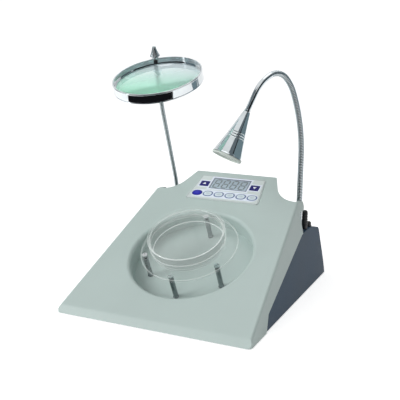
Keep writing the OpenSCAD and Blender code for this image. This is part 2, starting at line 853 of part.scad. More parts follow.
// Lamp neck: a long gentle bend, then the arch, then the way down to the shade.
lamp_turns = [22, 45, 115, 152];
lamp_radii = [220, 55, 20, 50];
lamp_p0 = [0, lamp_bend_z];
lamp_p1 = arc_end(lamp_p0, lamp_radii[0], 0, lamp_turns[0]);
lamp_p2 = arc_end(lamp_p1, lamp_radii[1], lamp_turns[0], lamp_turns[1]);
lamp_p3 = arc_end(lamp_p2, lamp_radii[2], lamp_turns[1], lamp_turns[2]);
lamp_p4 = arc_end(lamp_p3, lamp_radii[3], lamp_turns[2], lamp_turns[3]);
lamp_p5 = line_end(lamp_p4, sleeve_len, lamp_turns[3]);
lamp_aim = lamp_turns[3];

module lamp_neck_lower() {
    color([0.66, 0.71, 0.74]) in_plane(lamp_x, lamp_heading) difference() {
        union() {
            neck_line([0, foot_z], lamp_bend_z - foot_z, 0, lamp_tube_r);
            neck_arc(lamp_p0, lamp_radii[0], 0, lamp_turns[0], lamp_tube_r);
            crimp(lamp_p0, 0, lamp_tube_r);
        }
        at_point(lamp_p1, lamp_turns[0]) sphere(lamp_tube_r + ball_extra + link_gap);
    }
}

module lamp_neck_upper() {
    color([0.66, 0.71, 0.74]) in_plane(lamp_x, lamp_heading) difference() {
        union() {
            at_point(lamp_p1, lamp_turns[0]) sphere(lamp_tube_r + ball_extra);
            crimp(lamp_p2, lamp_turns[1], lamp_tube_r);
            neck_arc(lamp_p1, lamp_radii[1], lamp_turns[0], lamp_turns[1], lamp_tube_r);
            neck_arc(lamp_p2, lamp_radii[2], lamp_turns[1], lamp_turns[2], lamp_tube_r);
        }
        at_point(lamp_p1, lamp_turns[0]) link_hole();
    }
}

module lamp_sleeve() {
    r = lamp_tube_r + 0.1;
    color([0.8, 0.82, 0.85]) in_plane(lamp_x, lamp_heading) {
        neck_arc(lamp_p3, lamp_radii[3], lamp_turns[2], lamp_turns[3], r);
        crimp(lamp_p4, lamp_turns[3], r);
        neck_line(lamp_p4, sleeve_len, lamp_turns[3], r);
    }
}

module at_shade() {
    in_plane(lamp_x, lamp_heading) at_point(lamp_p5, lamp_aim) children();
}

shade_neck_r = lamp_tube_r + 0.8;
groove_at = [0.49, 0.545, 0.6];
function shade_radius(t) = shade_neck_r + (shade_r - shade_neck_r) * t / shade_len;
cap_t = 7;

module lamp_shade() {
    color([0.78, 0.82, 0.84]) at_shade() rotate_extrude() difference() {
        polygon([[0, 0], [shade_neck_r - 0.6, 0], [shade_neck_r, 0.6], [shade_r, shade_len],
            [shade_r - shade_wall, shade_len], [shade_radius(cap_t) - shade_wall, cap_t], [0, cap_t]]);
        for (share = groove_at)
            translate([shade_radius(share * shade_len) + 0.25, share * shade_len]) circle(0.6, $fn = 24);
    }
}

rim_h = 3;
module lamp_rim() {
    color([0.86, 0.9, 0.88]) at_shade() translate([0, 0, shade_len]) rotate_extrude()
        polygon([[shade_r - 2 * shade_wall, 0], [shade_r, 0], [shade_r + 0.4, 0.5 * rim_h],
            [shade_r - 0.4, rim_h], [shade_r - 2 * shade_wall, rim_h]]);
}

module lamp_diffuser() {
    color([0.95, 0.95, 0.9]) at_shade() translate([0, 0, shade_len])
        cylinder(r = shade_r - 2 * shade_wall, h = 2);
}

reflector_gap = 0.2;
module lamp_reflector() {
    start = cap_t + 8;
    depth = shade_len - start - reflector_gap;
    inner = shade_wall + reflector_gap;
    color([0.9, 0.9, 0.92]) at_shade() translate([0, 0, start]) rotate_extrude()
        polygon([[4.4, 0], [shade_radius(start) - inner, 0], [shade_radius(shade_len - 0.4) - inner, depth],
            [shade_radius(shade_len - 0.4) - inner - 1, depth], [4.4, 1]]);
}

module lamp_bulb() {
    color([0.95, 0.95, 0.85]) at_shade() {
        translate([0, 0, cap_t]) cylinder(r = 4, h = 14);
        translate([0, 0, cap_t + 14]) cylinder(r = 3.2, h = 8);
        translate([0, 0, cap_t + 22]) sphere(3.2);
    }
}

// Magnifier neck: straight, a short bend forward, a long straight, a slight bend back.
lens_start = 92;
lens_radius = 75;
lens_run = 98;
lens_back_radius = 170;
lens_tail = 50;
lens_p0 = [0, lens_start];
lens_p1 = arc_end(lens_p0, lens_radius, 0, lens_lean);
lens_p2 = line_end(lens_p1, lens_run / 2, lens_lean);
lens_p3 = line_end(lens_p2, lens_run / 2, lens_lean);
lens_p4 = arc_end(lens_p3, -lens_back_radius, lens_lean, lens_end_aim);
lens_p5 = line_end(lens_p4, lens_tail, lens_end_aim);

module neck_arc_back(p, R, a, b, r) {
    c = arc_centre(p, -R, a);
    short = joint_gap / R * 180 / PI;
    translate([c[0], 0, c[1]]) rotate([90, 0, 0]) rotate([0, 0, -a])
        rotate_extrude(angle = a - b - short) translate([R, 0]) circle(r, $fn = 32);
}

module lens_neck_lower() {
    r = lens_tube_r;
    color([0.66, 0.71, 0.74]) in_plane(-lens_x, lens_heading) difference() {
        union() {
            neck_line([0, foot_z], lens_start - foot_z, 0, r);
            crimp(lens_p0, 0, r);
            neck_arc(lens_p0, lens_radius, 0, lens_lean, r);
            crimp(lens_p1, lens_lean, r);
            neck_line(lens_p1, lens_run / 2, lens_lean, r);
        }
        at_point(lens_p2, lens_lean) sphere(r + ball_extra + link_gap);
    }
}

module lens_neck_upper() {
    r = lens_tube_r;
    color([0.66, 0.71, 0.74]) in_plane(-lens_x, lens_heading) difference() {
        union() {
            at_point(lens_p2, lens_lean) sphere(r + ball_extra);
            neck_line(lens_p2, lens_run / 2, lens_lean, r);
            crimp(lens_p3, lens_lean, r);
            neck_arc_back(lens_p3, lens_back_radius, lens_lean, lens_end_aim, r);
            crimp(lens_p4, lens_end_aim, r);
            neck_line(lens_p4, lens_tail, lens_end_aim, r);
        }
        at_point(lens_p2, lens_lean) link_hole();
    }
}

// The clamp turns on the end of the neck. A screw holds the ring against its side.
clamp_r = lens_tube_r + 1;
clamp_above = 5;
clamp_below = 14;
clamp_out = ring_r + clamp_r + seat_gap;
cone_low_r = 6.5;
cone_top_r = 2.5;
cone_h = 13;
screw_r = 1.5;
screw_head_r = 2.6;
screw_up = 2.2;
clamp_point = line_end(lens_p5, clamp_above, lens_end_aim);
clamp_pos = [-lens_x + clamp_point[0] * cos(lens_heading), foot_y + clamp_point[0] * sin(lens_heading),
    clamp_point[1]];
cone_at = ring_h / 2 - screw_up + 0.8;

module at_clamp() {
    in_plane(-lens_x, lens_heading) at_point(clamp_point, lens_end_aim) children();
}

// Frame at the clamp, square to the ring; +X there points away from the ring's middle.
module at_screw() {
    from_front() translate(clamp_pos) rotate([ring_tilt, 0, 0]) rotate([0, 0, 90 + clamp_turn])
        children();
}

module at_ring() {
    at_screw() translate([-clamp_out, 0, -screw_up]) children();
}

module lens_clamp() {
    color([0.68, 0.73, 0.75]) difference() {
        at_clamp() {
            translate([0, 0, -clamp_below]) cylinder(r = clamp_r, h = clamp_below + cone_at + 1);
            translate([0, 0, cone_at]) cylinder(r1 = cone_low_r, r2 = cone_top_r, h = cone_h);
        }
        at_clamp() translate([0, 0, -clamp_below - 1])
            cylinder(r = lens_tube_r + 0.05, h = clamp_below + 1 - clamp_above + seat_gap);
        at_screw() rotate([0, -90, 0]) cylinder(r = screw_r + 0.1, h = clamp_r + 2);
    }
}

module clamp_screw() {
    inner_wall = clamp_out - ring_r + ring_wall;
    color([0.05, 0.05, 0.06]) at_screw() rotate([0, -90, 0]) {
        translate([0, 0, 0.5]) cylinder(r = screw_r, h = inner_wall);
        translate([0, 0, inner_wall + seat_gap]) cylinder(r = screw_head_r, h = 1.2);
        translate([0, 0, inner_wall + seat_gap + 1.2])
            cylinder(r1 = screw_head_r, r2 = screw_head_r - 0.8, h = 0.8);
    }
}

seat_w = 1.6;
seat_t = 1.4;
module lens_ring() {
    color([0.75, 0.8, 0.82]) at_ring() difference() {
        rotate_extrude($fn = 128) {
            translate([ring_r - ring_wall, -ring_h / 2]) square([ring_wall, ring_h]);
            translate([ring_r - ring_wall - seat_w, -ring_h / 2]) square([seat_w + 0.4, seat_t]);
        }
        translate([0, 0, screw_up]) rotate([0, 90, 0]) cylinder(r = screw_r + 0.1, h = ring_r + 5);
    }
}

lens_r = ring_r - ring_wall - 0.2;
lens_edge = 2.4;
lens_rise = (lens_t - lens_edge) / 2;
lens_dome = (lens_r * lens_r + lens_rise * lens_rise) / (2 * lens_rise);
// the curved face dips this far over the width of the seat
lens_dip = sqrt(pow(lens_dome, 2) - pow(ring_r - ring_wall - seat_w, 2))
    - sqrt(pow(lens_dome, 2) - pow(lens_r, 2));
lens_low = -ring_h / 2 + seat_t + lens_dip + seat_gap;
retainer_t = 0.9;

// Glass that bulges on both sides, down on its seat.
module lens_glass() {
    color([0.75, 0.9, 0.86]) at_ring() translate([0, 0, lens_low + lens_edge / 2])
        rotate_extrude($fn = 96) intersection() {
            translate([0, -lens_t]) square([lens_r, 2 * lens_t]);
            translate([0, lens_t / 2 - lens_dome]) circle(lens_dome, $fn = 720);
            translate([0, lens_dome - lens_t / 2]) circle(lens_dome, $fn = 720);
        }
}

module lens_retainer() {
    color([0.7, 0.75, 0.77]) at_ring() translate([0, 0, lens_low + lens_edge + seat_gap]) difference() {
        cylinder(r = lens_r, h = retainer_t, $fn = 96);
        translate([0, 0, -1]) cylinder(r = lens_r - seat_w, h = 4, $fn = 96);
    }
}

upper_shell();
base_housing();
bottom_plate();
rubber_feet();
case_screws();
keypad_membrane();
display_window();
display_module();
key_board();
main_board();
power_supply();
pen_post();
pen_jack();
power_inlet();
switch_frame();
switch_rocker();
fuse_holder();
lamp_foot();
lens_foot();
tray();
tray_posts();
tray_screws();
dish_base();
dish_lid();
up_key();
down_key();
round_key_1();
round_key_2();
round_key_3();
round_key_4();
round_key_5();
round_key_6();
lamp_neck_lower();
lamp_neck_upper();
lamp_sleeve();
lamp_shade();
lamp_rim();
lamp_diffuser();
lamp_reflector();
lamp_bulb();
lens_neck_lower();
lens_neck_upper();
lens_clamp();
clamp_screw();
lens_ring();
lens_retainer();
lens_glass();
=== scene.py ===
"""Looks for the colony counter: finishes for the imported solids, and finer pieces in place of some."""

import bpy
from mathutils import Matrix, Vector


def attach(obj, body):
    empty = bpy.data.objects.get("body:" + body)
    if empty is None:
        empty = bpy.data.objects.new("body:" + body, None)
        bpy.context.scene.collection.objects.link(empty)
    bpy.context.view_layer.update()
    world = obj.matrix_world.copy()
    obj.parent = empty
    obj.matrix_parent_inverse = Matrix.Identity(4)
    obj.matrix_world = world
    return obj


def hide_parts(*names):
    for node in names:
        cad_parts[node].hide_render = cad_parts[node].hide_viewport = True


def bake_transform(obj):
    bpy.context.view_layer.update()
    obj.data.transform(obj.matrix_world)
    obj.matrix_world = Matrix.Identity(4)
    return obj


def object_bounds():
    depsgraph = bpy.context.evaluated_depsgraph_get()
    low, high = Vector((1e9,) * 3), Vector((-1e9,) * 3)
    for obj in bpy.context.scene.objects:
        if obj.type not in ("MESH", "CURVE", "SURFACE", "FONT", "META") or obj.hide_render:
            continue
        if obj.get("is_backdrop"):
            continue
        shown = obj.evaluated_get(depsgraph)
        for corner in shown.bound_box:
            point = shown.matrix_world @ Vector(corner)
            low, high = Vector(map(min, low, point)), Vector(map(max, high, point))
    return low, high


bl_info = {
    "name": "Colony Counter",
    "version": (1, 0, 0),
    "blender": (4, 5, 0),
    "location": "View3D > Sidebar > Counter",
    "description": "Dresses the colony counter: hoses, lamp, magnifier, dish, keypad and finishes",
    "category": "Object",
}

import math

import bpy
import numpy as np
from bpy.props import FloatProperty, FloatVectorProperty, IntProperty, PointerProperty
from bpy.types import Operator, Panel, PropertyGroup
from mathutils import Matrix, Vector

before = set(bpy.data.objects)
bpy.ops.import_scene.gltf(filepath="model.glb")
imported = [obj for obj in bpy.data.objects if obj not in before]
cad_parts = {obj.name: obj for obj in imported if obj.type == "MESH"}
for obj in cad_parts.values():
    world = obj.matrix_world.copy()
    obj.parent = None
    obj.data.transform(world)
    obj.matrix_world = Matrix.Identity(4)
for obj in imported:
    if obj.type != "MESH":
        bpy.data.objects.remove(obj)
CAD_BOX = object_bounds()
MM = 0.001
DEG = math.pi / 180

# Main sizes of the solids, in millimetres and degrees. Y is counted from the front of the body.
BODY_D = 284
FRONT_H, FRONT_LEAN, SLOPE = 9.4, 7.2, 26.5
STAND_H, FUSE_OUT = 1.0, 5.0
MID_Y = (BODY_D + FUSE_OUT + FRONT_LEAN * STAND_H / FRONT_H) / 2
WELL_V, WELL_DEPTH = 113.7, 22
TRAY_R, TRAY_T, TRAY_H = 59.5, 3.0, 7.1
POST_CIRCLE, POST_R, POST_TURNS = 54.3, 3.0, (-150, -90, -30, 90)
DISH_R, DISH_H, DISH_WALL, LID_R, LID_SKIRT, SEAT_GAP = 45.0, 20.0, 1.3, 47.0, 11.0, 0.3
PAD_V0, PAD_V1, PAD_LOW, PAD_HIGH, PAD_T = 213.0, 264.0, 51.0, 45.5, 0.8
LCD_W, LCD_H, LCD_V = 54.0, 23.5, 248.4
KEY_COUNT, KEY_W, KEY_D, KEY_PITCH, KEY_V, KEY_SHIFT = 6, 13.8, 10.8, 15.6, 225.2, 0.4
ARROW_W, ARROW_D, ARROW_U, ARROW_V = 12.4, 10.6, 35.8, 245.7
FOOT_Y, LEDGE_Z, FOOT_LIFT = 250.0, 70.0, 1.2
LAMP_X, LAMP_HEADING, LAMP_R, LAMP_BEND_Z = 90.0, 235.0, 3.8, 163.0
LAMP_ARCS = ((220, 22), (55, 45), (20, 115), (50, 152))
SLEEVE_LEN, SHADE_LEN, SHADE_R, SHADE_WALL = 25.0, 58.0, 18.8, 1.2
LENS_X, LENS_HEADING, LENS_TUBE_R, LENS_START = -89.5, 275.0, 3.0, 92.0
LENS_LEAN, LENS_RADIUS, LENS_RUN, LENS_AIM = 25.0, 75.0, 98.0, 18.0
LENS_BACK_RADIUS, LENS_TAIL = 170.0, 50.0
LAMP_LINK_REACH, LENS_LINK_REACH = 14.0, 20.0
RING_R, RING_H, RING_WALL, RING_TILT, LENS_T = 55.0, 12.4, 2.0, 21.7, 9.0
CLAMP_R, CLAMP_TURN, CLAMP_ABOVE, CLAMP_BELOW, SCREW_UP, SCREW_HEAD_R = 4.0, 29.0, 5.0, 14.0, 2.2, 2.6
PEN_X, PEN_Y, PEN_R, PEN_LEN, PEN_RIBS = 101.5, 239.0, 3.6, 25.0, 5


# ---- properties


def length(name, description, default):
    """Length property, in metres."""
    return FloatProperty(name=name, description=description, default=default, unit="LENGTH")


def tint(name, description, *colour):
    """Colour property."""
    return FloatVectorProperty(
        name=name, description=description, subtype="COLOR", size=3, default=colour
    )


class CounterSizes(PropertyGroup):
    """Fine sizes that the finished pieces use."""

    lamp_pitch: length("Lamp hose pitch", "Distance between two windings of the lamp's hose", 0.0021)
    lens_pitch: length("Magnifier hose pitch", "The same on the magnifier's thinner hose", 0.0018)
    winding_depth: length("Winding depth", "Depth of the groove between two windings", 0.00032)
    groove_depth: length("Shade groove depth", "Depth of the fine grooves round the shade", 0.0005)
    key_dome: length("Key dome", "Rise of a key's face", 0.0004)
    around: IntProperty(
        name="Round steps", description="Steps round a turned piece", default=192, min=32
    )


class CounterColours(PropertyGroup):
    """Colours of the finishes."""

    shell: tint("Shell", "Moulded upper shell", 0.455, 0.545, 0.525)
    base: tint("Base", "Dark base housing", 0.021, 0.052, 0.092)
    film: tint("Film", "Keypad film", 0.60, 0.665, 0.655)
    halo: tint("Film halo", "Paler print round the keys", 0.76, 0.82, 0.93)
    display: tint("Display", "Display glass", 0.34, 0.43, 0.50)
    digit: tint("Digits", "Unlit digit segments", 0.12, 0.15, 0.16)
    key_blue: tint("Blue key", "First oval key", 0.012, 0.014, 0.38)
    key_dark: tint("Arrow key", "Arrow keys", 0.004, 0.004, 0.13)
    chrome: tint("Chrome", "Bright plating", 0.70, 0.74, 0.76)
    lens: tint("Lens", "Tint of the lens at its near side", 0.46, 0.92, 0.72)
    # painted reflection: this paler grey tint at the lens's far side stands in for what the glass
    # reflects
    lens_far_reflection: tint("Lens, far side", "Tint of the lens at its far side", 0.72, 0.80, 0.84)


class CounterStage(PropertyGroup):
    """Camera and light."""

    lens: FloatProperty(
        name="Lens", description="Focal length on a 36 mm sensor, in mm", default=65.84
    )
    world: FloatProperty(name="World", description="Strength of the even light", default=0.40)
    key: FloatProperty(
        name="Key light", description="Large soft lamp at the front left, in W", default=44.0
    )
    front: FloatProperty(name="Front light", description="Low soft lamp in front, in W", default=9.0)
    top: FloatProperty(name="Top light", description="Soft lamp overhead, in W", default=10.0)


# ---- meshes


def cols(*parts):
    """Coordinates side by side along a new last axis, each spread to the common shape."""
    return np.stack(np.broadcast_arrays(*parts), -1)


def add_mesh(name, points, faces, uv=None):
    """Mesh object from points in millimetres (Y from the front of the body) and faces given as index
    arrays. The faces of a closed form are turned outwards by the sign of its volume: the sum of
    a . (b x c) over triangles."""
    points = (np.asarray(points, float).reshape(-1, 3) - [0, MID_Y, 0]) * MM
    lists = [np.asarray(f, int) for f in faces]
    from_middle = points - points.mean(0)
    volume = 0.0
    for f in lists:
        for k in range(1, f.shape[1] - 1):
            a, b, c = (from_middle[f[:, i]] for i in (0, k, k + 1))
            volume += np.einsum("ij,ij->i", a, np.cross(b, c)).sum()
    if volume < 0:
        lists = [f[:, ::-1] for f in lists]
    mesh = bpy.data.meshes.new(name)
    mesh.from_pydata(points.tolist(), [], [row for f in lists for row in f.tolist()])
    mesh.polygons.foreach_set("use_smooth", np.ones(len(mesh.polygons), bool))
    if uv is not None:
        layer = mesh.uv_layers.new(name="UVMap")
        corner = np.zeros(len(mesh.loops), np.int32)
        mesh.loops.foreach_get("vertex_index", corner)
        layer.data.foreach_set("uv", np.asarray(uv, np.float32).reshape(-1, 2)[corner].ravel())
    mesh.update()
    obj = bpy.data.objects.new(name, mesh)
    bpy.context.scene.collection.objects.link(obj)
    return obj


def sharpen(obj, degrees=35):
    """Edges that turn by more than this many degrees stay crisp."""
    obj.data.set_sharp_from_angle(angle=degrees * DEG)
    return obj


def sheet_faces(rows, columns, wrap_rows=False, wrap_columns=True):
    """Quads of a grid of rows by columns points, numbered row by row."""
    i = np.arange(rows if wrap_rows else rows - 1)
    j = np.arange(columns if wrap_columns else columns - 1)
    i, j = np.meshgrid(i, j, indexing="ij")
    i2, j2 = (i + 1) % rows, (j + 1) % columns
    return cols(i * columns + j, i * columns + j2, i2 * columns + j2, i2 * columns + j).reshape(-1, 4)


def fan(centre, first, around, flip=False):
    """Triangles from one centre point to a ring of points that starts at first."""
    ring = np.arange(around)
    a, b = first + ring, first + (ring + 1) % around
    return cols(centre, b, a) if flip else cols(centre, a, b)


def circle(around):
    """Angles of a ring's points."""
    return np.arange(around) * 2 * math.pi / around


def swells(t, spots, width):
    """Soft ridges along t: the sum of exp(-((t - spot) / width)^2) over the spots."""
    return np.exp(-(((t[:, None] - np.asarray(spots)) / width) ** 2)).sum(1)


def round_top(radius, start, rise, t):
    """Quarter ellipse (r, z) from (radius, start) to the axis, rise higher, for t from 0 to 1."""
    curve = cols(radius * np.cos(t * math.pi / 2), start + rise * np.sin(t * math.pi / 2))[1:]
    curve[-1, 0] = 0
    return curve


def rounded(profile, radius=0.3, steps=3):
    """Profile (r, z) whose inner corners are replaced by quadratic curves:
    c + (1-t)^2 (a-c) + t^2 (b-c), where a and b lie radius away from the corner c. A support point
    stands just outside each end, so that flat stretches shade flat."""
    p = np.asarray(profile, float)
    before, corner, after = p[:-2], p[1:-1], p[2:]
    la = np.linalg.norm(before - corner, axis=1, keepdims=True)
    lb = np.linalg.norm(after - corner, axis=1, keepdims=True)
    reach_a = (before - corner) / la * np.minimum(radius, la * 0.33)
    reach_b = (after - corner) / lb * np.minimum(radius, lb * 0.33)
    t = np.linspace(0, 1, steps + 1)[None, :, None]
    curve = corner[:, None] + (1 - t) ** 2 * reach_a[:, None] + t**2 * reach_b[:, None]
    first, last = (corner + reach_a * 1.4)[:, None], (corner + reach_b * 1.4)[:, None]
    return np.vstack([p[:1], np.concatenate([first, curve, last], axis=1).reshape(-1, 2), p[-1:]])


def turned(name, profile, place, around=None, copies=None):
    """Turned piece: each profile point (r, z) goes round the Z axis as (r cos q, r sin q, z), and
    place() carries the result to the body. UV u is 1 where the profile bends by more than 0.1
    radians. A profile that starts or ends on the axis is closed there with a fan, and any other is
    a ring. With copies, the piece stands once at each of these shifts."""
    around = around or bpy.context.scene.counter_sizes.around
    p = np.asarray(profile, float)
    low, high = p[0, 0] < 1e-6, p[-1, 0] < 1e-6
    body = p[(1 if low else 0) : (len(p) - 1 if high else len(p))]
    q = circle(around)
    points = cols(body[:, :1] * np.cos(q), body[:, :1] * np.sin(q), body[:, 1:]).reshape(-1, 3)
    faces = [sheet_faces(len(body), around, wrap_rows=not (low or high))]
    step = np.diff(body, axis=0)
    aim = np.unwrap(np.arctan2(step[:, 1], step[:, 0]))
    bend = np.repeat(np.concatenate([[0], np.abs(np.diff(aim)) > 0.1, [0]]).astype(float), around)
    ends = [(p[0], 0, True)] if low else []
    ends += [(p[-1], (len(body) - 1) * around, False)] if high else []
    for tip, first, flip in ends:
        faces.append(fan(len(points), first, around, flip))
        points = np.vstack([points, [[0, 0, tip[1]]]])
        bend = np.append(bend, 0)
    if copies is not None:
        shift = np.asarray(copies, float)
        first = (np.arange(len(shift)) * len(points))[:, None, None]
        points = (points[None] + shift[:, None]).reshape(-1, 3)
        faces = [(f[None] + first).reshape(-1, f.shape[1]) for f in faces]
        bend = np.tile(bend, len(shift))
    return add_mesh(name, place(points), faces, cols(bend, 0 * bend))


# ---- places


def spun_x(degrees):
    """Matrix that turns about X."""
    c, s = math.cos(degrees * DEG), math.sin(degrees * DEG)
    return np.array([[1, 0, 0], [0, c, -s], [0, s, c]])


def spun_z(degrees):
    """Matrix that turns about Z."""
    c, s = math.cos(degrees * DEG), math.sin(degrees * DEG)
    return np.array([[c, -s, 0], [s, c, 0], [0, 0, 1]])


def on_panel(u, v, h=0.0):
    """Carries local (x, y, z) to the sloping panel: x across, y up the slope, z out of it, from the
    point (u, v, h)."""
    return lambda p: (np.asarray(p, float) + [u, v, h]) @ spun_x(SLOPE).T + [0, FRONT_LEAN, FRONT_H]


def standing(x, y):
    """Carries local (x, y, z) to a place on the rear ledge."""
    return lambda p: np.asarray(p) + [x, y, LEDGE_Z]


def neck_path(start, pieces, step):
    """Points (s, z) and directions along a chain of straights and arcs in one upright plane. A
    straight adds length * (sin a, cos a). An arc of radius R from a to b adds
    R * (cos a - cos b, sin b - sin a), and R < 0 bends back."""
    points, aims, at, a = [], [], np.array(start, float), 0.0
    for kind, size, to in pieces:
        length = size if kind == "line" else abs(size * (to - a) * DEG)
        t = np.linspace(0, 1, max(int(length / step), 2))
        sine, cosine = math.sin(a * DEG), math.cos(a * DEG)
        if kind == "line":
            line = at + length * t[:, None] * [sine, cosine]
            aim = np.full(len(t), a)
        else:
            aim = a + (to - a) * t
            line = at + size * cols(cosine - np.cos(aim * DEG), np.sin(aim * DEG) - sine)
            a = to
        points.append(line[:-1]), aims.append(aim[:-1])
        at = line[-1]
    return np.vstack(points + [at[None]]), np.append(np.concatenate(aims), a)


def neck_point(x, heading, point):
    """Points (s, z) of a neck that stands at x and heads this way over the ground."""
    s, h = point[..., 0], heading * DEG
    return cols(x + s * math.cos(h), FOOT_Y + s * math.sin(h), point[..., 1])


def aim_vector(heading, aim):
    """Direction of a neck that leans by aim from upright."""
    h, a = heading * DEG, aim * DEG
    return np.array([math.sin(a) * math.cos(h), math.sin(a) * math.sin(h), math.cos(a)])


def row_point(x, heading, point):
    """Point of a neck in the row frame, in metres."""
    return (neck_point(x, heading, point) - [0, MID_Y, 0]) * MM


def tube(name, x, heading, points, aims, radius, around=28, winding=None):
    """Tube along a neck: centre + r (cos q forward + sin q side), where forward is
    (cos a cos h, cos a sin h, -sin a). radius may vary along the tube. winding is a pitch and a depth:
    r loses depth * g with g = 1 - |sin(pi (along / pitch - q / 2 pi))|^0.6, which winds the tube as a
    screw, and UV u is g. Both ends close on their centres."""
    h, a, q = heading * DEG, aims * DEG, circle(around)
    centre = neck_point(x, heading, points)
    forward = cols(np.cos(a) * math.cos(h), np.cos(a) * math.sin(h), -np.sin(a))
    side = np.array([-math.sin(h), math.cos(h), 0.0])
    r = np.broadcast_to(np.asarray(radius, float), a.shape)[:, None] * np.ones(around)
    uv = None
    if winding is not None:
        pitch, depth = winding
        along = np.concatenate([[0], np.cumsum(np.linalg.norm(np.diff(points, axis=0), axis=1))])
        phase = along[:, None] / pitch - q / (2 * math.pi)
        groove = 1 - np.abs(np.sin(math.pi * phase)) ** 0.6
        r = r - depth * groove
        u = np.concatenate([np.ones(around), groove.ravel(), np.ones(around), [1, 1]])
        uv = cols(u, 0 * u)
    out = np.cos(q)[:, None] * forward[:, None] + np.sin(q)[:, None] * side
    grid = centre[:, None] + r[..., None] * out
    caps = [centre[k] + (grid[k] - centre[k]) * 0.4 for k in (0, -1)]
    rings = np.concatenate([caps[0][None], grid, caps[1][None]])
    count = len(rings)
    body = np.vstack([rings.reshape(-1, 3), centre[:1], centre[-1:]])
    low = fan(count * around, 0, around, flip=True)
    high = fan(count * around + 1, (count - 1) * around, around)
    return add_mesh(name, body, [sheet_faces(count, around), low, high], uv)


def end_place(x, heading, point, aim):
    """Carries a turned piece to the end of a neck, with its Z along the neck."""
    h = heading * DEG
    z, side = aim_vector(heading, aim), np.array([-math.sin(h), math.cos(h), 0.0])
    turning = np.stack([np.cross(side, z), side, z])
    return lambda p: neck_point(x, heading, point) + np.asarray(p) @ turning


def straight(length):
    return ("line", length, None)


# Lamp: foot, gentle bend up to the link, two arcs of the arch, way down under the smooth sleeve.
# Magnifier: foot, bend, run with the link halfway, bend back, tail.
FOOT = (0.0, LEDGE_Z + FOOT_LIFT)
LAMP_CHAIN = [straight(LAMP_BEND_Z - LEDGE_Z - FOOT_LIFT)] + [("arc", r, a) for r, a in LAMP_ARCS]
TO_LINK, TO_SLEEVE = LAMP_CHAIN[:2], LAMP_CHAIN[:4]
LENS_CHAIN = [
    straight(LENS_START - LEDGE_Z - FOOT_LIFT),
    ("arc", LENS_RADIUS, LENS_LEAN),
    straight(LENS_RUN),
    ("arc", -LENS_BACK_RADIUS, LENS_AIM),
    straight(LENS_TAIL),
]
TO_LENS_LINK = LENS_CHAIN[:2] + [straight(LENS_RUN / 2)]


def chain_end(chain):
    points, aims = neck_path(FOOT, chain, 1.0)
    return points[-1], aims[-1]


# ---- materials


class Wire:
    """A shader socket that can be used in Python expressions; each operator adds one Math node."""

    def __init__(self, nodes, socket):
        self.nodes, self.socket = nodes, socket

    def math(self, operation, *values):
        return self.nodes.node("ShaderNodeMath", {"operation": operation}, values)

    def __add__(self, other):
        return self.math("ADD", self, other)

    def __sub__(self, other):
        return self.math("SUBTRACT", self, other)

    def __rsub__(self, other):
        return self.math("SUBTRACT", other, self)

    def __mul__(self, other):
        return self.math("MULTIPLY", self, other)

    def __pow__(self, other):
        return self.math("POWER", self, other)

    __radd__, __rmul__ = __add__, __mul__

    def abs(self):
        return self.math("ABSOLUTE", self)

    def least(self, other):
        return self.math("MINIMUM", self, other)

    def most(self, other):
        return self.math("MAXIMUM", self, other)

    def between(self, low, high):
        """0 below low, 1 above high, smooth between."""
        return self.nodes.node(
            "ShaderNodeMapRange",
            {"interpolation_type": "SMOOTHSTEP", "clamp": True},
            {"Value": self, "From Min": low, "From Max": high},
        )


class Nodes:
    """A node tree whose sockets take constants or wires."""

    def __init__(self, tree):
        self.tree = tree

    def feed(self, socket, value):
        if isinstance(value, Wire):
            self.tree.links.new(value.socket, socket)
        elif hasattr(value, "__len__") and socket.type == "RGBA":
            socket.default_value = (*tuple(value)[:3], 1.0)
        else:
            socket.default_value = value

    def node(self, kind, settings=None, inputs=None, out=0):
        """Adds one node, sets its own fields, then its sockets by order or by name, and gives one
        output as a Wire."""
        node = self.tree.nodes.new(kind)
        for key, value in (settings or {}).items():
            setattr(node, key, value)
        for key, value in inputs.items() if isinstance(inputs, dict) else enumerate(inputs or []):
            self.feed(node.inputs[key], value)
        return Wire(self, node.outputs[out])

    def seen(self):
        """1 for what the camera, a mirror or glass looks at, 0 for the rest of the light."""
        ray = lambda name: self.node("ShaderNodeLightPath", out=name)
        return ray("Is Camera Ray").most(ray("Is Glossy Ray")).most(ray("Is Transmission Ray"))


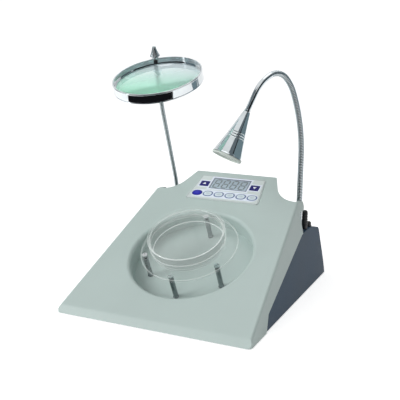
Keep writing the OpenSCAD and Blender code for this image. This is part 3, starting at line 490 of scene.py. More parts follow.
class Look(Nodes):
    """One finish: a Principled surface."""

    def __init__(self, name, **constants):
        self.material = bpy.data.materials.new(name)
        self.material.use_nodes = True
        super().__init__(self.material.node_tree)
        self.surface = self.tree.nodes["Principled BSDF"]
        self.out = self.tree.nodes["Material Output"]
        self.set(**constants)

    def set(self, **values):
        for key, value in values.items():
            self.feed(self.surface.inputs[key.replace("_", " ")], value)

    def place(self):
        return self.node("ShaderNodeTexCoord", out="Object")

    def split(self, vector):
        node = self.tree.nodes.new("ShaderNodeSeparateXYZ")
        self.tree.links.new(vector.socket, node.inputs[0])
        return [Wire(self, s) for s in node.outputs]

    def u(self):
        """First coordinate of the piece's own UV map."""
        return self.split(self.node("ShaderNodeTexCoord", out="UV"))[0]

    def noise(self, scale, detail=3.0, rough=0.55, vector=None):
        inputs = {"Vector": vector or self.place(), "Scale": scale, "Detail": detail, "Roughness": rough}
        return self.node("ShaderNodeTexNoise", {}, inputs)

    def mix(self, factor, first, second):
        node = self.tree.nodes.new("ShaderNodeMix")
        node.data_type = "RGBA"
        for socket, value in ((0, factor), (6, first), (7, second)):
            self.feed(node.inputs[socket], value)
        return Wire(self, node.outputs[2])

    def bump(self, height, distance, strength=1.0):
        inputs = {"Height": height, "Distance": distance, "Strength": strength}
        return self.node("ShaderNodeBump", {}, inputs)

    def panel(self):
        """Place on the sloping panel in millimetres: across it, and up the slope."""
        c, s = math.cos(SLOPE * DEG), math.sin(SLOPE * DEG)
        origin = (0.0, (FRONT_LEAN - MID_Y) * MM, FRONT_H * MM)
        local = self.node("ShaderNodeVectorMath", {"operation": "SUBTRACT"}, [self.place(), origin])
        product = {"operation": "DOT_PRODUCT"}
        along = lambda axis: self.node("ShaderNodeVectorMath", product, [local, axis], out="Value")
        return along((1, 0, 0)) * 1000.0, along((0, c, s)) * 1000.0


def shade(colour, factor):
    return tuple(min(c * factor, 1.0) for c in colour)


def moulded(name, colour, grain=900.0, depth=0.00006, roughness=0.42, spread=0.05, gloss=0.5):
    """Moulded plastic: slow drift of tone, fine grain in the gloss, low spark-eroded texture."""
    look = Look(name, IOR=1.46, Specular_IOR_Level=gloss)
    drift = look.noise(9.0)
    fine = look.noise(grain, 2.0)
    pale, dark = shade(colour, 1 + spread), shade(colour, 1 - spread)
    look.set(
        Base_Color=look.mix(drift.between(0.3, 0.7), dark, pale),
        Roughness=roughness + (fine - 0.5) * 0.16 + (drift - 0.5) * 0.1,
        Normal=look.bump(fine, depth, 0.5),
    )
    return look


def plated(name, colour, roughness=0.08, scratches=0.10):
    """Bright plating: near-mirror metal with faint haze and hairline scratches in the gloss."""
    look = Look(name, Metallic=1.0)
    haze = look.noise(55.0, 4.0, 0.6)
    inputs = {"Vector": look.place(), "Scale": (40.0, 40.0, 1600.0)}
    hair = look.noise(1.0, 2.0, 0.5, look.node("ShaderNodeMapping", {}, inputs))
    hazed, worn = haze.between(0.5, 0.8) * scratches, hair.between(0.6, 0.75) * scratches * 0.5
    look.set(
        Base_Color=look.mix(haze.between(0.35, 0.7), colour, shade(colour, 0.9)),
        Roughness=roughness + hazed + worn,
        Normal=look.bump(hair, 0.00001, 0.25),
    )
    return look


def clear(name, colour, face=0.035, grazing=0.6, corner=0.46):
    """Clear moulding: see-through face-on, paler edge-on and along its rounded corners (UV u is 1)."""
    look = Look(name, IOR=1.45, Metallic=0.3)
    rim = look.node("ShaderNodeLayerWeight", {}, {"Blend": 0.5}, out="Facing")
    bend = look.u()
    cloud = look.noise(60.0)
    dense = face + rim.between(0.6, 1.0) ** 2.0 * (grazing - face) + bend * corner
    look.set(
        Base_Color=look.mix(cloud, colour, shade(colour, 0.97)),
        Roughness=0.04 + cloud.between(0.55, 0.85) * 0.02,
        Alpha=(dense + (cloud - 0.5) * 0.01).least(0.9),
        Normal=look.bump(cloud, 0.00003, 0.3),
    )
    look.material.surface_render_method = "DITHERED"
    return look


def film_look(colours):
    """Keypad film: pale halos round keys and display, a fine dark line of painted shadow just inside its
    edge, satin skin.
    """
    look = Look("keypad_film")
    u, v = look.panel()
    side = u.abs()
    row = ((u - KEY_SHIFT).abs() - (KEY_COUNT - 1) / 2 * KEY_PITCH).most(0.0)
    row = (row**2.0 + (v - KEY_V) ** 2.0) ** 0.5 - KEY_D / 2
    arrows = ((side - ARROW_U).abs() - ARROW_W / 2).most((v - ARROW_V).abs() - ARROW_D / 2)
    screen = (side - LCD_W / 2).most((v - LCD_V).abs() - LCD_H / 2)
    halo = 1.0 - row.least(arrows).least(screen).between(1.0, 3.4)
    slant = (PAD_LOW - PAD_HIGH) / (PAD_V1 - PAD_V0)
    edge = (side - PAD_LOW + (v - PAD_V0) * slant).most(PAD_V0 - v).most(v - PAD_V1)
    # painted shadow: a thin dark band just inside the film's outline stands in for the shadow of its
    # raised edge
    line = edge.between(-1.3, -0.9) * (1.0 - edge.between(-0.75, -0.45))
    grain = look.noise(1400.0, 2.0)
    colour = look.mix(halo, colours.film, colours.halo)
    colour = look.mix(line * 0.9, colour, (0.10, 0.13, 0.15))
    drift = look.noise(40.0, 2.0).between(0.3, 0.7)
    look.set(
        Base_Color=look.mix(drift * 0.06, colour, (0.5, 0.56, 0.58)),
        Roughness=0.32 + grain * 0.12,
        Normal=look.bump(grain, 0.00002, 0.4),
    )
    return look


def key_face(name, face, ring, mark, ring_from=0.80, ring_to=0.97):
    """Printed key: a ring near the rim by the piece's own UV (u runs from the middle, 0, to the rim, 1),
    and a mark in the middle."""
    look = Look(name, Specular_IOR_Level=0.2)
    r = look.u()
    inside = 1.0 - r.between(ring_to - 0.02, ring_to + 0.02)
    colour = look.mix(r.between(ring_from - 0.03, ring_from + 0.03) * inside, face, ring)
    if mark is not None:
        colour = look.mix((1.0 - r.between(0.42, 0.5)) * 0.55, colour, mark)
    grain = look.noise(1200.0, 2.0)
    look.set(Base_Color=colour, Roughness=0.34 + grain * 0.12, Normal=look.bump(grain, 0.00002, 0.4))
    return look


def display_look(colours):
    """Display glass: dark frame line, painted shading that is lighter at its lower edge and darker
    towards the top, glossy coat.
    """
    look = Look("display_glass", Coat_Weight=0.7, Coat_Roughness=0.08)
    u, v = look.panel()
    edge = (u.abs() - LCD_W / 2).most((v - LCD_V).abs() - LCD_H / 2)
    # painted light and shade: the glass is lighter at the bottom and darker at the top
    tone = (v - LCD_V).between(-12.0, 12.0)
    colour = look.mix(tone, shade(colours.display, 1.12), shade(colours.display, 0.86))
    look.set(
        Base_Color=look.mix(edge.between(-1.9, -1.4) * 0.85, colour, (0.085, 0.10, 0.16)),
        Roughness=0.22 + look.noise(500.0, 2.0) * 0.08,
    )
    return look


def hose_look(name, colour):
    """Wound steel strip: bright crests, grooves (UV u) darkened with painted shade, a little drift along
    the hose.
    """
    look = Look(name, Metallic=1.0)
    groove = look.u()
    haze = look.noise(70.0)
    look.set(
        # painted shade: the base colour drops to a quarter of the steel's in the grooves between
        # windings
        Base_Color=look.mix(groove.between(0.25, 0.9), shade(colour, 0.82), shade(colour, 0.25)),
        Roughness=0.16 + groove * 0.14 + haze.between(0.45, 0.8) * 0.12,
    )
    return look


def lens_look(colours):
    """Ground glass lens: a green tint at its near side that turns paler grey towards the far side as a
    painted reflection, and a faint polish haze.
    """
    look = Look("lens_glass_finish", Transmission_Weight=0.66, IOR=1.52)
    haze = look.noise(30.0, 2.0)
    _, y, _ = look.split(look.place())
    # painted reflection: the tint runs from the green near side to the paler grey far side by height in
    # Y
    cast = look.mix(y.between(-0.055, 0.035), colours.lens, colours.lens_far_reflection)
    look.set(
        Base_Color=look.mix(haze.between(0.3, 0.8) * 0.06, cast, (0.9, 0.95, 0.95)),
        Roughness=haze.between(0.6, 0.9) * 0.02,
    )
    return look


def board_look():
    """Circuit board: paler tracks under green lacquer."""
    look = Look("circuit_board")
    tracks = look.noise(260.0, 1.0).between(0.5, 0.53)
    look.set(
        Base_Color=look.mix(tracks, (0.02, 0.16, 0.07), (0.05, 0.28, 0.13)),
        Roughness=0.35 + look.noise(500.0) * 0.1,
    )
    return look


def paper_look():
    """White floor paper: it glows for whatever looks at it, and still takes the object's shadow."""
    look = Look("floor_paper", Roughness=0.9, Specular_IOR_Level=0.0)
    fibre = look.noise(60.0)
    look.set(
        Base_Color=look.mix(fibre, (0.93, 0.93, 0.93), (0.95, 0.95, 0.95)),
        Emission_Color=(1, 1, 1),
    )
    white = {"Color": (1, 1, 1)}
    light = lambda strength: look.node("ShaderNodeEmission", {}, white | {"Strength": strength})
    chosen = look.node("ShaderNodeMixShader", {}, [look.seen(), light(0.0), light(0.55)])
    paper = Wire(look, look.surface.outputs[0])
    total = look.node("ShaderNodeAddShader", {}, [paper, chosen])
    look.feed(look.out.inputs["Surface"], total)
    return look


LOOKS = {}


def make_looks():
    colours = bpy.context.scene.counter_colours
    pale, blue, dark = (0.66, 0.75, 0.80), colours.key_blue, colours.key_dark
    dish = (0.94, 1.0, 0.98)
    LOOKS.update(
        shell=moulded("shell_plastic", colours.shell, 1100.0, 0.00005, 0.46, 0.025),
        base=moulded("base_plastic", colours.base, 700.0, 0.00012, 0.50, 0.10, 0.25),
        plate=moulded("plate_coat", (0.05, 0.06, 0.07), 600.0, 0.00008, 0.5, 0.1),
        rubber=moulded("foot_rubber", (0.014, 0.014, 0.014), 500.0, 0.0001, 0.75, 0.15),
        black=moulded("black_plastic", (0.012, 0.012, 0.014), 900.0, 0.00005, 0.32, 0.15),
        red=moulded("rocker_plastic", (0.42, 0.012, 0.01), 900.0, 0.00003, 0.22),
        supply=moulded("winding_tape", (0.42, 0.32, 0.10), 400.0, 0.0001, 0.5, 0.15),
        board=board_look(),
        film=film_look(colours),
        display=display_look(colours),
        digit=moulded("digit_print", colours.digit, 900.0, 0.00002, 0.3),
        white=moulded("key_print", (0.86, 0.88, 0.95), 900.0, 0.00002, 0.35, 0.02),
        key_pale=key_face("pale_key_print", pale, (0.045, 0.085, 0.27), (0.50, 0.58, 0.64)),
        key_blue=key_face("blue_key_print", blue, shade(blue, 0.55), (0.04, 0.045, 0.46)),
        key_dark=key_face("arrow_key_print", dark, shade(dark, 1.6), None, 0.9, 0.98),
        chrome=plated("bright_chrome", colours.chrome, 0.05, 0.06),
        satin=plated("satin_metal", (0.50, 0.55, 0.57), 0.26, 0.12),
        shade=plated("polished_shade", (0.66, 0.71, 0.73), 0.07, 0.07),
        steel=plated("turned_steel", (0.30, 0.33, 0.34), 0.24, 0.12),
        screw=plated("screw_steel", (0.52, 0.55, 0.56), 0.22, 0.12),
        mirror=plated("reflector_mirror", (0.85, 0.86, 0.87), 0.05, 0.03),
        hose=hose_look("hose_steel", (0.62, 0.68, 0.71)),
        hose_lens=hose_look("thin_hose_steel", (0.60, 0.66, 0.68)),
        tray=clear("tray_acrylic", (0.90, 0.98, 0.95)),
        dish=clear("dish_plastic", dish),
        lid=clear("lid_plastic", dish),
        lens=lens_look(colours),
        lip=moulded("lip_plastic", (0.60, 0.66, 0.62), 900.0, 0.00002, 0.3, 0.03),
        diffuser=moulded("diffuser_plastic", (0.80, 0.82, 0.78), 900.0, 0.00002, 0.45, 0.03),
    )


def finish_of(obj, key):
    """Gives an object one finish."""
    obj.data.materials.clear()
    obj.data.materials.append(LOOKS[key].material)


def carried(obj, body, key, slot, *nodes):
    """A finished piece: its finish, the body that it rides on, its slot (not used), and the solids that
    it stands for."""
    finish_of(obj, key)
    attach(obj, body)
    if nodes:
        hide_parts(*nodes)
    return obj


# ---- pieces


class COUNTER_OT_solids(Operator):
    """Finishes of the solids that keep their own shape"""

    bl_idname = "counter.solids"
    bl_label = "Solids"

    def execute(self, context):
        make_looks()
        kept = {
            "shell": "upper_shell",
            "base": "base_housing",
            "plate": "bottom_plate",
            "rubber": "rubber_feet",
            "screw": "case_screws tray_screws",
            "film": "keypad_membrane",
            "display": "display_window",
            "black": "display_module power_inlet switch_frame fuse_holder pen_jack lamp_bulb",
            "board": "key_board main_board",
            "supply": "power_supply",
            "red": "switch_rocker",
            "mirror": "lamp_reflector",
            "chrome": "lens_retainer",
        }
        for key, nodes in kept.items():
            for node in nodes.split():
                finish_of(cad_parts[node], key)
        return {"FINISHED"}


def hose(name, x, heading, chain, radius, pitch, depth, around):
    """Wound hose along the chain, with nine steps to a winding."""
    points, aims = neck_path(FOOT, chain, pitch / 9)
    return tube(name, x, heading, points, aims, radius, around, (pitch, depth))


def foot_collar(name, x, hose_r, sleeve_r, tall, node):
    """Foot of a neck: a broad nut that steps in to a sleeve, which closes round the hose."""
    nut = [(0, 0.05), (7.4, 0.05), (7.4, 3.6), (6.9, 4.9), (5.4, 6.1)]
    sleeve = [(sleeve_r, 6.5), (sleeve_r, tall - 0.6), (hose_r + 0.15, tall), (0, tall)]
    obj = turned(name, rounded(nut + sleeve, 0.35), standing(x, FOOT_Y), 96)
    return carried(obj, "housing", "chrome", "nuts", node)


class COUNTER_OT_lamp(Operator):
    """Lamp: wound hose, smooth sleeve, joint, shade, lip and diffuser"""

    bl_idname = "counter.lamp"
    bl_label = "Lamp"

    def execute(self, context):
        sizes = context.scene.counter_sizes
        neck = (LAMP_X, LAMP_HEADING)
        pitch, depth = sizes.lamp_pitch / MM, sizes.winding_depth / MM
        obj = hose("lamp_hose", *neck, TO_SLEEVE, LAMP_R + 0.1, pitch, depth, 30)
        finish_of(obj, "hose")
        at, aim = chain_end(TO_LINK)
        middle, way = row_point(*neck, at), aim_vector(LAMP_HEADING, aim) * LAMP_LINK_REACH * MM
        tuple(middle - way)
        tuple(middle + way)
        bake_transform(obj)
        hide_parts("lamp_neck_lower", "lamp_neck_upper")

        # smooth sleeve from the arch to the shade, flared at its start and a little thinner at its end
        start, _ = chain_end(TO_SLEEVE)
        points, aims = neck_path(FOOT, LAMP_CHAIN + [straight(SLEEVE_LEN - 0.4)], 0.6)
        first = int(np.argmin(np.linalg.norm(points - start, axis=1)))
        points, aims = points[first:], aims[first:]
        t = np.linspace(0, 1, len(points))
        radius = LAMP_R + 0.12 + 0.22 * swells(t, [0], 0.015) - 0.25 * t
        obj = tube("lamp_sleeve_tube", *neck, points, aims, radius, 48)
        carried(obj, "lamp_head", "chrome", "nuts", "lamp_sleeve")

        at, aim = chain_end(LAMP_CHAIN + [straight(SLEEVE_LEN)])
        place = end_place(*neck, at, aim)
        joint_r = LAMP_R + 0.35
        joint = rounded([(0, -2.6), (joint_r, -2.6), (joint_r, -0.1), (0, -0.1)], 0.3)
        carried(turned("lamp_joint", joint, place, 64), "lamp_head", "chrome", "nuts")

        # shade: r = top_r + (SHADE_R - top_r) (t - 0.035 sin pi t), with three grooves and a flared rim
        top_r = LAMP_R + 0.8
        z = np.linspace(0.6, SHADE_LEN, 260)
        t = z / SHADE_LEN
        outer = top_r + (SHADE_R - top_r) * (t - 0.035 * np.sin(math.pi * t))
        outer = outer - sizes.groove_depth / MM * swells(t, [0.49, 0.545, 0.60], 0.0065)
        outer = outer + 0.35 * swells(t, [1.0], 0.02)
        top = [(0, 0), (top_r - 0.5, 0), (top_r - 0.1, 0.15)]
        inside = [(SHADE_R - SHADE_WALL, SHADE_LEN), (top_r + 1.0, 9.0), (0, 9.0)]
        obj = turned("lamp_cone", np.vstack([top, cols(outer, z), inside]), place, 256)
        carried(sharpen(obj), "lamp_head", "shade", "shade", "lamp_shade")

        # lip and diffuser, given as (radius less than the shade's, height above its mouth)
        lip = [(2.4, 0.6), (0.2, 0.1), (-0.4, 1.4), (0.3, 3), (1.8, 3), (2.4, 2.4), (2.4, 0.6)]
        lip = rounded(np.array(lip) * [-1, 1] + [SHADE_R, SHADE_LEN], 0.4)[:-1]
        carried(turned("lamp_lip", lip, place), "lamp_head", "lip", "rim", "lamp_rim")
        r = np.linspace(0, SHADE_R - 2.5, 20)
        dome = cols(r, SHADE_LEN + 1.9 - 1.1 * (r / (SHADE_R - 2.5)) ** 2)
        back = [(SHADE_R - 2.6, SHADE_LEN + 0.2), (0, SHADE_LEN + 0.2)]
        obj = sharpen(turned("lamp_face", np.vstack([dome, back]), place))
        carried(obj, "lamp_head", "diffuser", "diffuser", "lamp_diffuser")
        foot_collar("lamp_collar", LAMP_X, LAMP_R, 4.9, 9.0, "lamp_foot")
        return {"FINISHED"}


class COUNTER_OT_magnifier(Operator):
    """Magnifier: wound hose, clamp, screw, ring and lens"""

    bl_idname = "counter.magnifier"
    bl_label = "Magnifier"

    def execute(self, context):
        sizes = context.scene.counter_sizes
        neck = (LENS_X, LENS_HEADING)
        pitch, depth = sizes.lens_pitch / MM, sizes.winding_depth / MM
        obj = hose("magnifier_hose", *neck, LENS_CHAIN, LENS_TUBE_R, pitch, depth * 0.8, 24)
        finish_of(obj, "hose_lens")
        at, aim = chain_end(TO_LENS_LINK)
        middle, way = row_point(*neck, at), aim_vector(LENS_HEADING, aim) * LENS_LINK_REACH * MM
        tuple(middle - way)
        tuple(middle + way)
        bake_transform(obj)
        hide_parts("lens_neck_lower", "lens_neck_upper")
        foot_collar("magnifier_collar", LENS_X, LENS_TUBE_R, 4.2, 8.6, "lens_foot")

        # clamp: round barrel below, bell-shaped cap above the ring: r = 2.5 + 4 (1 - t)^1.5
        at, aim = chain_end(LENS_CHAIN)
        at = at + CLAMP_ABOVE * np.array([math.sin(aim * DEG), math.cos(aim * DEG)])
        cap_z, cap_h, tip_r = RING_H / 2 - SCREW_UP + 0.8, 12.2, 2.5
        t = np.linspace(0, 1, 24)
        barrel = [(0, -CLAMP_BELOW), (CLAMP_R - 0.4, -CLAMP_BELOW), (CLAMP_R, -CLAMP_BELOW + 0.4)]
        shoulder = [(CLAMP_R, cap_z), (tip_r + 3.7, cap_z), (tip_r + 4.0, cap_z + 0.3)]
        bell = cols(tip_r + 4.0 * (1 - t) ** 1.5, cap_z + 0.9 + (cap_h - 0.9) * t)
        profile = np.vstack([barrel, shoulder, bell, round_top(tip_r, cap_z + cap_h, 0.8, t)])
        obj = sharpen(turned("ring_clamp", profile, end_place(*neck, at, aim), 96))
        carried(obj, "magnifier", "satin", "clamp", "lens_clamp")

        # the ring's own axes: tilted forward, turned in the clamp, its middle out from the clamp's axis
        anchor = neck_point(*neck, at)
        square = spun_x(RING_TILT) @ spun_z(90 + CLAMP_TURN)
        out = RING_R + CLAMP_R + SEAT_GAP
        ring = lambda p: anchor + (np.asarray(p) + [-out, 0, -SCREW_UP]) @ square.T
        screw = lambda p: anchor + np.asarray(p)[..., ::-1] * [-1, 1, 1] @ square.T

        half, inner, edge = RING_H / 2, RING_R - RING_WALL, RING_R - 0.5
        bead = [(edge, half), (RING_R, half - 0.5), (RING_R, half - 1.3), (RING_R - 0.3, half - 1.6)]
        lower = [(r, -z) for r, z in reversed(bead)]
        seat = [(inner - 1.4, -half), (inner - 1.4, -half + 1.3), (inner, -half + 1.5)]
        band = bead + lower + seat + [(inner, half - 0.4), (inner + 0.4, half), (edge, half)]
        obj = sharpen(turned("ring_band", rounded(band, 0.25)[:-1], ring, 256))
        carried(obj, "magnifier", "chrome", "ring", "lens_ring")

        # lens: two spherical faces of radius big, which rise over the edge by rise
        edge, radius = 2.4, inner - 0.2
        rise = (LENS_T - edge) / 2
        big = (radius**2 + rise**2) / (2 * rise)
        r = np.linspace(0, radius - 0.15, 40)
        dome = cols(r, edge / 2 + np.sqrt(big**2 - r**2) - (big - rise))
        rim = [(radius, -edge / 2), (radius, edge / 2)]
        profile = np.vstack([dome * [1, -1], rim, dome[::-1]])
        dip = math.sqrt(big**2 - (inner - 1.6) ** 2) - math.sqrt(big**2 - radius**2)
        middle = -half + 1.4 + dip + SEAT_GAP + edge / 2
        glass = lambda p: ring(np.asarray(p) + [0, 0, middle])
        carried(turned("ring_lens", profile, glass, 192), "magnifier", "lens", "lens", "lens_glass")

        face = out - inner
        wide = SCREW_HEAD_R
        head = [(0, 2.3), (wide - 0.8, 2.3), (wide, 1.5), (wide, 0.3), (1.5, 0.3)]
        profile = [(r, z + face) for r, z in head] + [(1.5, 0.5), (0, 0.5)]
        obj = sharpen(turned("ring_screw", rounded(profile, 0.25), screw, 48))
        carried(obj, "magnifier", "black", "black", "clamp_screw")
        return {"FINISHED"}


class COUNTER_OT_dish(Operator):
    """Clear tray on four posts, dish and lid"""

    bl_idname = "counter.dish"
    bl_label = "Tray and dish"

    def execute(self, context):
        q = np.radians(POST_TURNS)
        spots = cols(POST_CIRCLE * np.cos(q), POST_CIRCLE * np.sin(q), 0)
        tall = TRAY_H + WELL_DEPTH
        flange, waist = POST_R + 0.6, POST_R - 0.4
        post = [(0, 0.0), (flange, 0.0), (flange, 1.0), (POST_R, 1.3), (POST_R, tall - 3)]
        post += [(waist, tall - 2.6), (waist, tall - 1.8), (POST_R, tall - 1.4)]
        post += [(POST_R, tall), (0, tall)]
        obj = turned("posts", rounded(post, 0.2), on_panel(0, WELL_V, -WELL_DEPTH), 48, spots)
        carried(obj, "housing", "steel", "posts", "tray_posts")

        def moulding(name, profile, radius, lift, *rest):
            obj = turned(name, rounded(profile, radius, 4), on_panel(0, WELL_V, lift))
            carried(obj, *rest)
            obj.visible_shadow = False  # clear walls let light through

        disc = [(0, 0), (TRAY_R, 0), (TRAY_R, TRAY_T), (0, TRAY_T)]
        moulding("clear_tray", disc, 0.5, TRAY_H, "housing", "tray", "clear", "tray")
        lift = TRAY_H + TRAY_T + SEAT_GAP
        tall, inner = DISH_H - DISH_WALL - SEAT_GAP, DISH_R - DISH_WALL
        cup = [(0, 0), (DISH_R, 0), (DISH_R, tall), (inner, tall), (inner, DISH_WALL), (0, DISH_WALL)]
        moulding("dish", cup, 0.55, lift, "dish", "dish", "dish", "dish_base")
        low, under, inner = DISH_H - LID_SKIRT, DISH_H - DISH_WALL, LID_R - DISH_WALL
        cover = [(0, DISH_H), (LID_R, DISH_H), (LID_R, low), (inner, low), (inner, under), (0, under)]
        moulding("lid", cover, 0.55, lift, "lid", "lid", "dish", "dish_lid")
        return {"FINISHED"}


def key_cap(name, power, w, d, place, low, high, dome):
    """Key: rings of a superellipse |x/a|^n + |y/b|^n = 1 (n = 2.3 is an oval, 9 is nearly a rectangle)
    scaled by r, lifted to high + dome (1 - r^2) with a soft rim, then straight sides down. UV u is r."""
    around = 96
    t = circle(around)
    wave = lambda s: np.sign(s) * np.abs(s) ** (2 / power)
    flat = cols(w / 2 * wave(np.cos(t)), d / 2 * wave(np.sin(t)))
    face = np.linspace(0.08, 0.9, 12)
    rim = np.array([(0.94, 0.01), (0.97, 0.06), (0.99, 0.16), (1.0, 0.34), (1.0, 0.7)])
    r = np.concatenate([face, rim[:, 0], [1.0, 0.9]])
    z = np.concatenate([high + dome * (1 - face**2), high - rim[:, 1], [low, low]])
    grid = cols(*(r[:, None, None] * flat).transpose(2, 0, 1), z[:, None])
    points = np.vstack([grid.reshape(-1, 3), [[0, 0, high + dome], [0, 0, low]]])
    count = len(r) * around
    ends = [fan(count, 0, around), fan(count + 1, count - around, around, flip=True)]
    u = np.concatenate([np.repeat(r, around), [0, 0]])
    return add_mesh(name, place(points), [sheet_faces(len(r), around), *ends], cols(u, 0 * u))


def prism(name, flat, low, high, place):
    """Upright prisms on outlines (count, corners, 2): a face at low, a face at high, and a quad for each
    side."""
    flat = np.asarray(flat, float)
    count, corners = flat.shape[:2]
    rings = [np.concatenate([flat, np.full((count, corners, 1), z)], -1) for z in (low, high)]
    start = (np.arange(count) * 2 * corners)[:, None]
    k = np.arange(corners)
    k2 = (k + 1) % corners
    side = cols(k, k2, k2 + corners, k + corners) + start[..., None]
    faces = [start + k[::-1], start + corners + k, side.reshape(-1, 4)]
    obj = add_mesh(name, place(np.concatenate(rings, 1).reshape(-1, 3)), faces)
    obj.data.polygons.foreach_set("use_smooth", np.zeros(len(obj.data.polygons), bool))
    return obj


class COUNTER_OT_keypad(Operator):
    """Oval keys, arrow keys with their marks, and display digits"""

    bl_idname = "counter.keypad"
    bl_label = "Keypad"

    def execute(self, context):
        dome = context.scene.counter_sizes.key_dome / MM
        high, low = PAD_T + 0.5, -4.3
        for i in range(KEY_COUNT):
            node = f"round_key_{i + 1}"
            place = on_panel((i - (KEY_COUNT - 1) / 2) * KEY_PITCH + KEY_SHIFT, KEY_V)
            cap = key_cap(f"oval_cap_{i + 1}", 2.3, KEY_W, KEY_D, place, low, high - dome, dome)
            key = "key_pale" if i else "key_blue"
            carried(cap, node, key, key, node)
        for side, node in ((-1, "up_key"), (1, "down_key")):
            place = on_panel(side * ARROW_U, ARROW_V)
            top = high - dome * 0.4
            cap = key_cap(f"{node}_cap", 9, ARROW_W, ARROW_D, place, low, top, dome * 0.2)
            carried(cap, node, "key_dark", "key_dark", node)
            # triangle 5 wide and 3.9 tall, its middle on the key's middle
            corners = np.array([[-2.6, -1.75], [2.6, -1.75], [0.0, 2.15]]) * [1, -side]
            mark = prism(f"{node}_mark", corners[None], top - 0.05, high - dome * 0.2 + 0.06, place)
            carried(mark, node, "white", "key_pale")

        # four digits of seven bars; a bar is a hexagon, and the digits lean by a tenth
        length, half, tall, wide, pitch = 6.6, 0.875, 8.2, 7.4, 12.2
        tip, corner = length / 2, length / 2 - half
        bar = [(-tip, 0), (-corner, -half), (corner, -half), (tip, 0), (corner, half), (-corner, half)]
        lying_at = np.array([[0, tall], [0, 0], [0, -tall]])
        upright_at = np.array([(side * wide / 2, end * tall / 2) for end in (1, -1) for side in (-1, 1)])
        upright = (np.array(bar) * [1.144, 1])[:, ::-1]
        bars = np.concatenate([bar + lying_at[:, None], upright + upright_at[:, None]])
        bars[..., 0] += bars[..., 1] * 0.1
        digits = bars + cols((np.arange(4) - 1.5) * pitch, 0)[:, None, None]
        top = PAD_T - 0.3
        place = on_panel(0, LCD_V - 0.2)
        obj = prism("display_digits", digits.reshape(-1, 6, 2), top - 0.1, top + 0.07, place)
        carried(obj, "housing", "digit", "display")
        return {"FINISHED"}


class COUNTER_OT_post(Operator):
    """Ribbed black post on the rear ledge"""

    bl_idname = "counter.post"
    bl_label = "Black post"

    def execute(self, context):
        straight_to = PEN_LEN - 3
        z = np.linspace(0, straight_to, 120)
        ribs = 1.6 + np.arange(1, PEN_RIBS + 1) * PEN_LEN / 7
        side = cols(PEN_R + 0.35 * swells(z, ribs, 0.7), z)
        top = round_top(PEN_R, straight_to, 3, np.linspace(0, 1, 16))
        profile = np.vstack([[(0, 0)], side, top])
        obj = sharpen(turned("ribbed_post", profile, standing(PEN_X, PEN_Y), 64), 50)
        carried(obj, "housing", "black", "black", "pen_post")
        return {"FINISHED"}


# ---- stage


CAMERA_AT = (366.47, -653.19, 317.13)
CAMERA_YAW, CAMERA_PITCH, CAMERA_ROLL = 24.95, -12.84, 0.34
CARD_RADIUS = 1300.0

# Curved cards: turn from and to (0 is the camera's own direction), rise from and to, and colour.
CARDS = {
    "card_front": (-80, 66, -20, 36, (0.012, 0.013, 0.015)),
    "card_right": (66, 128, -20, 34, (0.20, 0.27, 0.30)),
    "card_left": (-130, -86, -20, 34, (0.20, 0.27, 0.30)),
    "card_over": (-120, 8, 36, 58, (0.16, 0.19, 0.21)),
    "card_over_right": (32, 120, 36, 58, (0.16, 0.19, 0.21)),
}


def sector(name, first, last, low, high):
    """Part of a sphere round the origin: R (cos e cos a, cos e sin a, sin e), with the turn a from first
    to last and the rise e from low to high."""
    a = np.radians(np.linspace(first, last, 24) - 90 + CAMERA_YAW)
    e = np.radians(np.linspace(low, high, 8))[:, None]
    grid = CARD_RADIUS * cols(np.cos(e) * np.cos(a), np.cos(e) * np.sin(a), np.sin(e))
    return add_mesh(name, grid, [sheet_faces(8, 24, wrap_columns=False)])


def reflected(card, colour, glow=0.0):
    """Leaves a card of one colour to mirror-like reflections alone."""
    look = Look(card.name + "_felt", Roughness=1.0, Specular_IOR_Level=0.0, Base_Color=colour)
    if glow:
        look.set(Base_Color=(0, 0, 0), Emission_Color=colour, Emission_Strength=glow)
        look.material.cycles.emission_sampling = "NONE"
    card.data.materials.append(look.material)
    card.visible_camera = False
    card.visible_diffuse = False
    card.visible_transmission = False
    card.visible_shadow = False
    card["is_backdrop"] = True


def soft_lamp(name, power, size, at, to):
    """Square area lamp at one point that faces another, in metres."""
    data = bpy.data.lights.new(name, "AREA")
    data.energy, data.size = power, size
    obj = bpy.data.objects.new(name, data)
    bpy.context.scene.collection.objects.link(obj)
    obj.location = at
    obj.rotation_euler = (Vector(to) - Vector(at)).to_track_quat("-Z", "Y").to_euler()


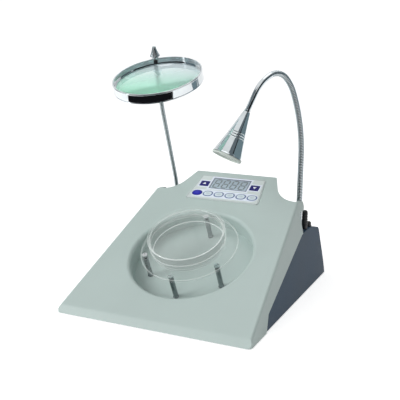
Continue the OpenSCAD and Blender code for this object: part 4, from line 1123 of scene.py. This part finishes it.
class COUNTER_OT_stage(Operator):
    """Floor with a rising back, soft light, dark cards for the bright metal, and the camera"""

    bl_idname = "counter.stage"
    bl_label = "Stage"

    def execute(self, context):
        scene, stage = context.scene, context.scene.counter_stage
        # sweep: flat to 2.5 m behind, then a quarter circle of radius 1.2 m, then upright
        bend = np.linspace(0, 1, 24) * math.pi / 2
        arc = cols(2500 + 1200 * np.sin(bend), 1200 - 1200 * np.cos(bend))
        curve = np.concatenate([[[-5000, 0]], arc, [[3700, 5200]]])
        grid = cols([-6000.0, 6000.0], curve[:, :1], curve[:, 1:])
        floor = add_mesh("floor", grid, [sheet_faces(len(curve), 2, wrap_columns=False)])
        floor.data.materials.append(paper_look().material)
        floor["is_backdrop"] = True

        for name, (*span, colour) in CARDS.items():
            reflected(sector(name, *span), colour, glow=1.0)
        bench = [(-420, -900, 3), (800, -900, 3), (800, -30, 3), (-420, -30, 3)]
        reflected(add_mesh("card_bench", bench, [[[0, 1, 2, 3]]]), (0.01, 0.01, 0.012))

        scene.world = bpy.data.worlds.new("studio")
        scene.world.use_nodes = True
        studio = Nodes(scene.world.node_tree)
        background = studio.tree.nodes["Background"]
        studio.feed(background.inputs["Strength"], studio.seen() * (1.0 - stage.world) + stage.world)
        studio.feed(background.inputs["Color"], (1, 1, 1))
        soft_lamp("key_light", stage.key, 1.5, (-1.9, -1.7, 1.5), (0, 0, 0.08))
        soft_lamp("front_light", stage.front, 0.8, (0.3, -2.4, 0.35), (0, 0, 0.02))
        soft_lamp("top_light", stage.top, 2.2, (0.3, 0.4, 2.4), (0, 0, 0.05))

        data = bpy.data.cameras.new("camera")
        data.sensor_width, data.lens, data.clip_end = 36.0, stage.lens, 50.0
        camera = bpy.data.objects.new("camera", data)
        scene.collection.objects.link(camera)
        # its own axes: right, up and backwards
        axes = spun_z(CAMERA_YAW) @ spun_x(90 + CAMERA_PITCH) @ spun_z(CAMERA_ROLL)
        pose = np.eye(4)
        pose[:3, :3] = axes
        pose[:3, 3] = (np.array(CAMERA_AT) - [0, MID_Y, 0]) * MM
        camera.matrix_world = Matrix(pose.tolist())
        scene.camera = camera
        scene.view_settings.view_transform = "Standard"
        return {"FINISHED"}


class COUNTER_PT_panel(Panel):
    """Sizes, colours and steps of the colony counter"""

    bl_idname = "COUNTER_PT_panel"
    bl_label = "Colony Counter"
    bl_space_type = "VIEW_3D"
    bl_region_type = "UI"
    bl_category = "Counter"

    def draw(self, context):
        for group in GROUPS:
            values, box = getattr(context.scene, group), self.layout.box()
            for name in values.bl_rna.properties.keys():
                if name not in {"rna_type", "name"}:
                    box.prop(values, name)
        for step in STEPS:
            self.layout.operator(step.bl_idname)


GROUPS = {
    "counter_sizes": CounterSizes,
    "counter_colours": CounterColours,
    "counter_stage": CounterStage,
}
STEPS = (
    COUNTER_OT_solids,
    COUNTER_OT_lamp,
    COUNTER_OT_magnifier,
    COUNTER_OT_dish,
    COUNTER_OT_keypad,
    COUNTER_OT_post,
    COUNTER_OT_stage,
)
CLASSES = (*GROUPS.values(), *STEPS, COUNTER_PT_panel)


def register():
    for cls in CLASSES:
        bpy.utils.register_class(cls)
    for name, cls in GROUPS.items():
        setattr(bpy.types.Scene, name, PointerProperty(type=cls))


def unregister():
    for name in GROUPS:
        delattr(bpy.types.Scene, name)
    for cls in reversed(CLASSES):
        bpy.utils.unregister_class(cls)


def main():
    register()
    bpy.ops.counter.solids()
    bpy.ops.counter.lamp()
    bpy.ops.counter.magnifier()
    bpy.ops.counter.dish()
    bpy.ops.counter.keypad()
    bpy.ops.counter.post()
    bpy.ops.counter.stage()
    plain = lambda box: [[float(v) for v in corner] for corner in box]
    {"cad": plain(CAD_BOX), "visual": plain(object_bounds())}


if __name__ == "__main__":
    main()
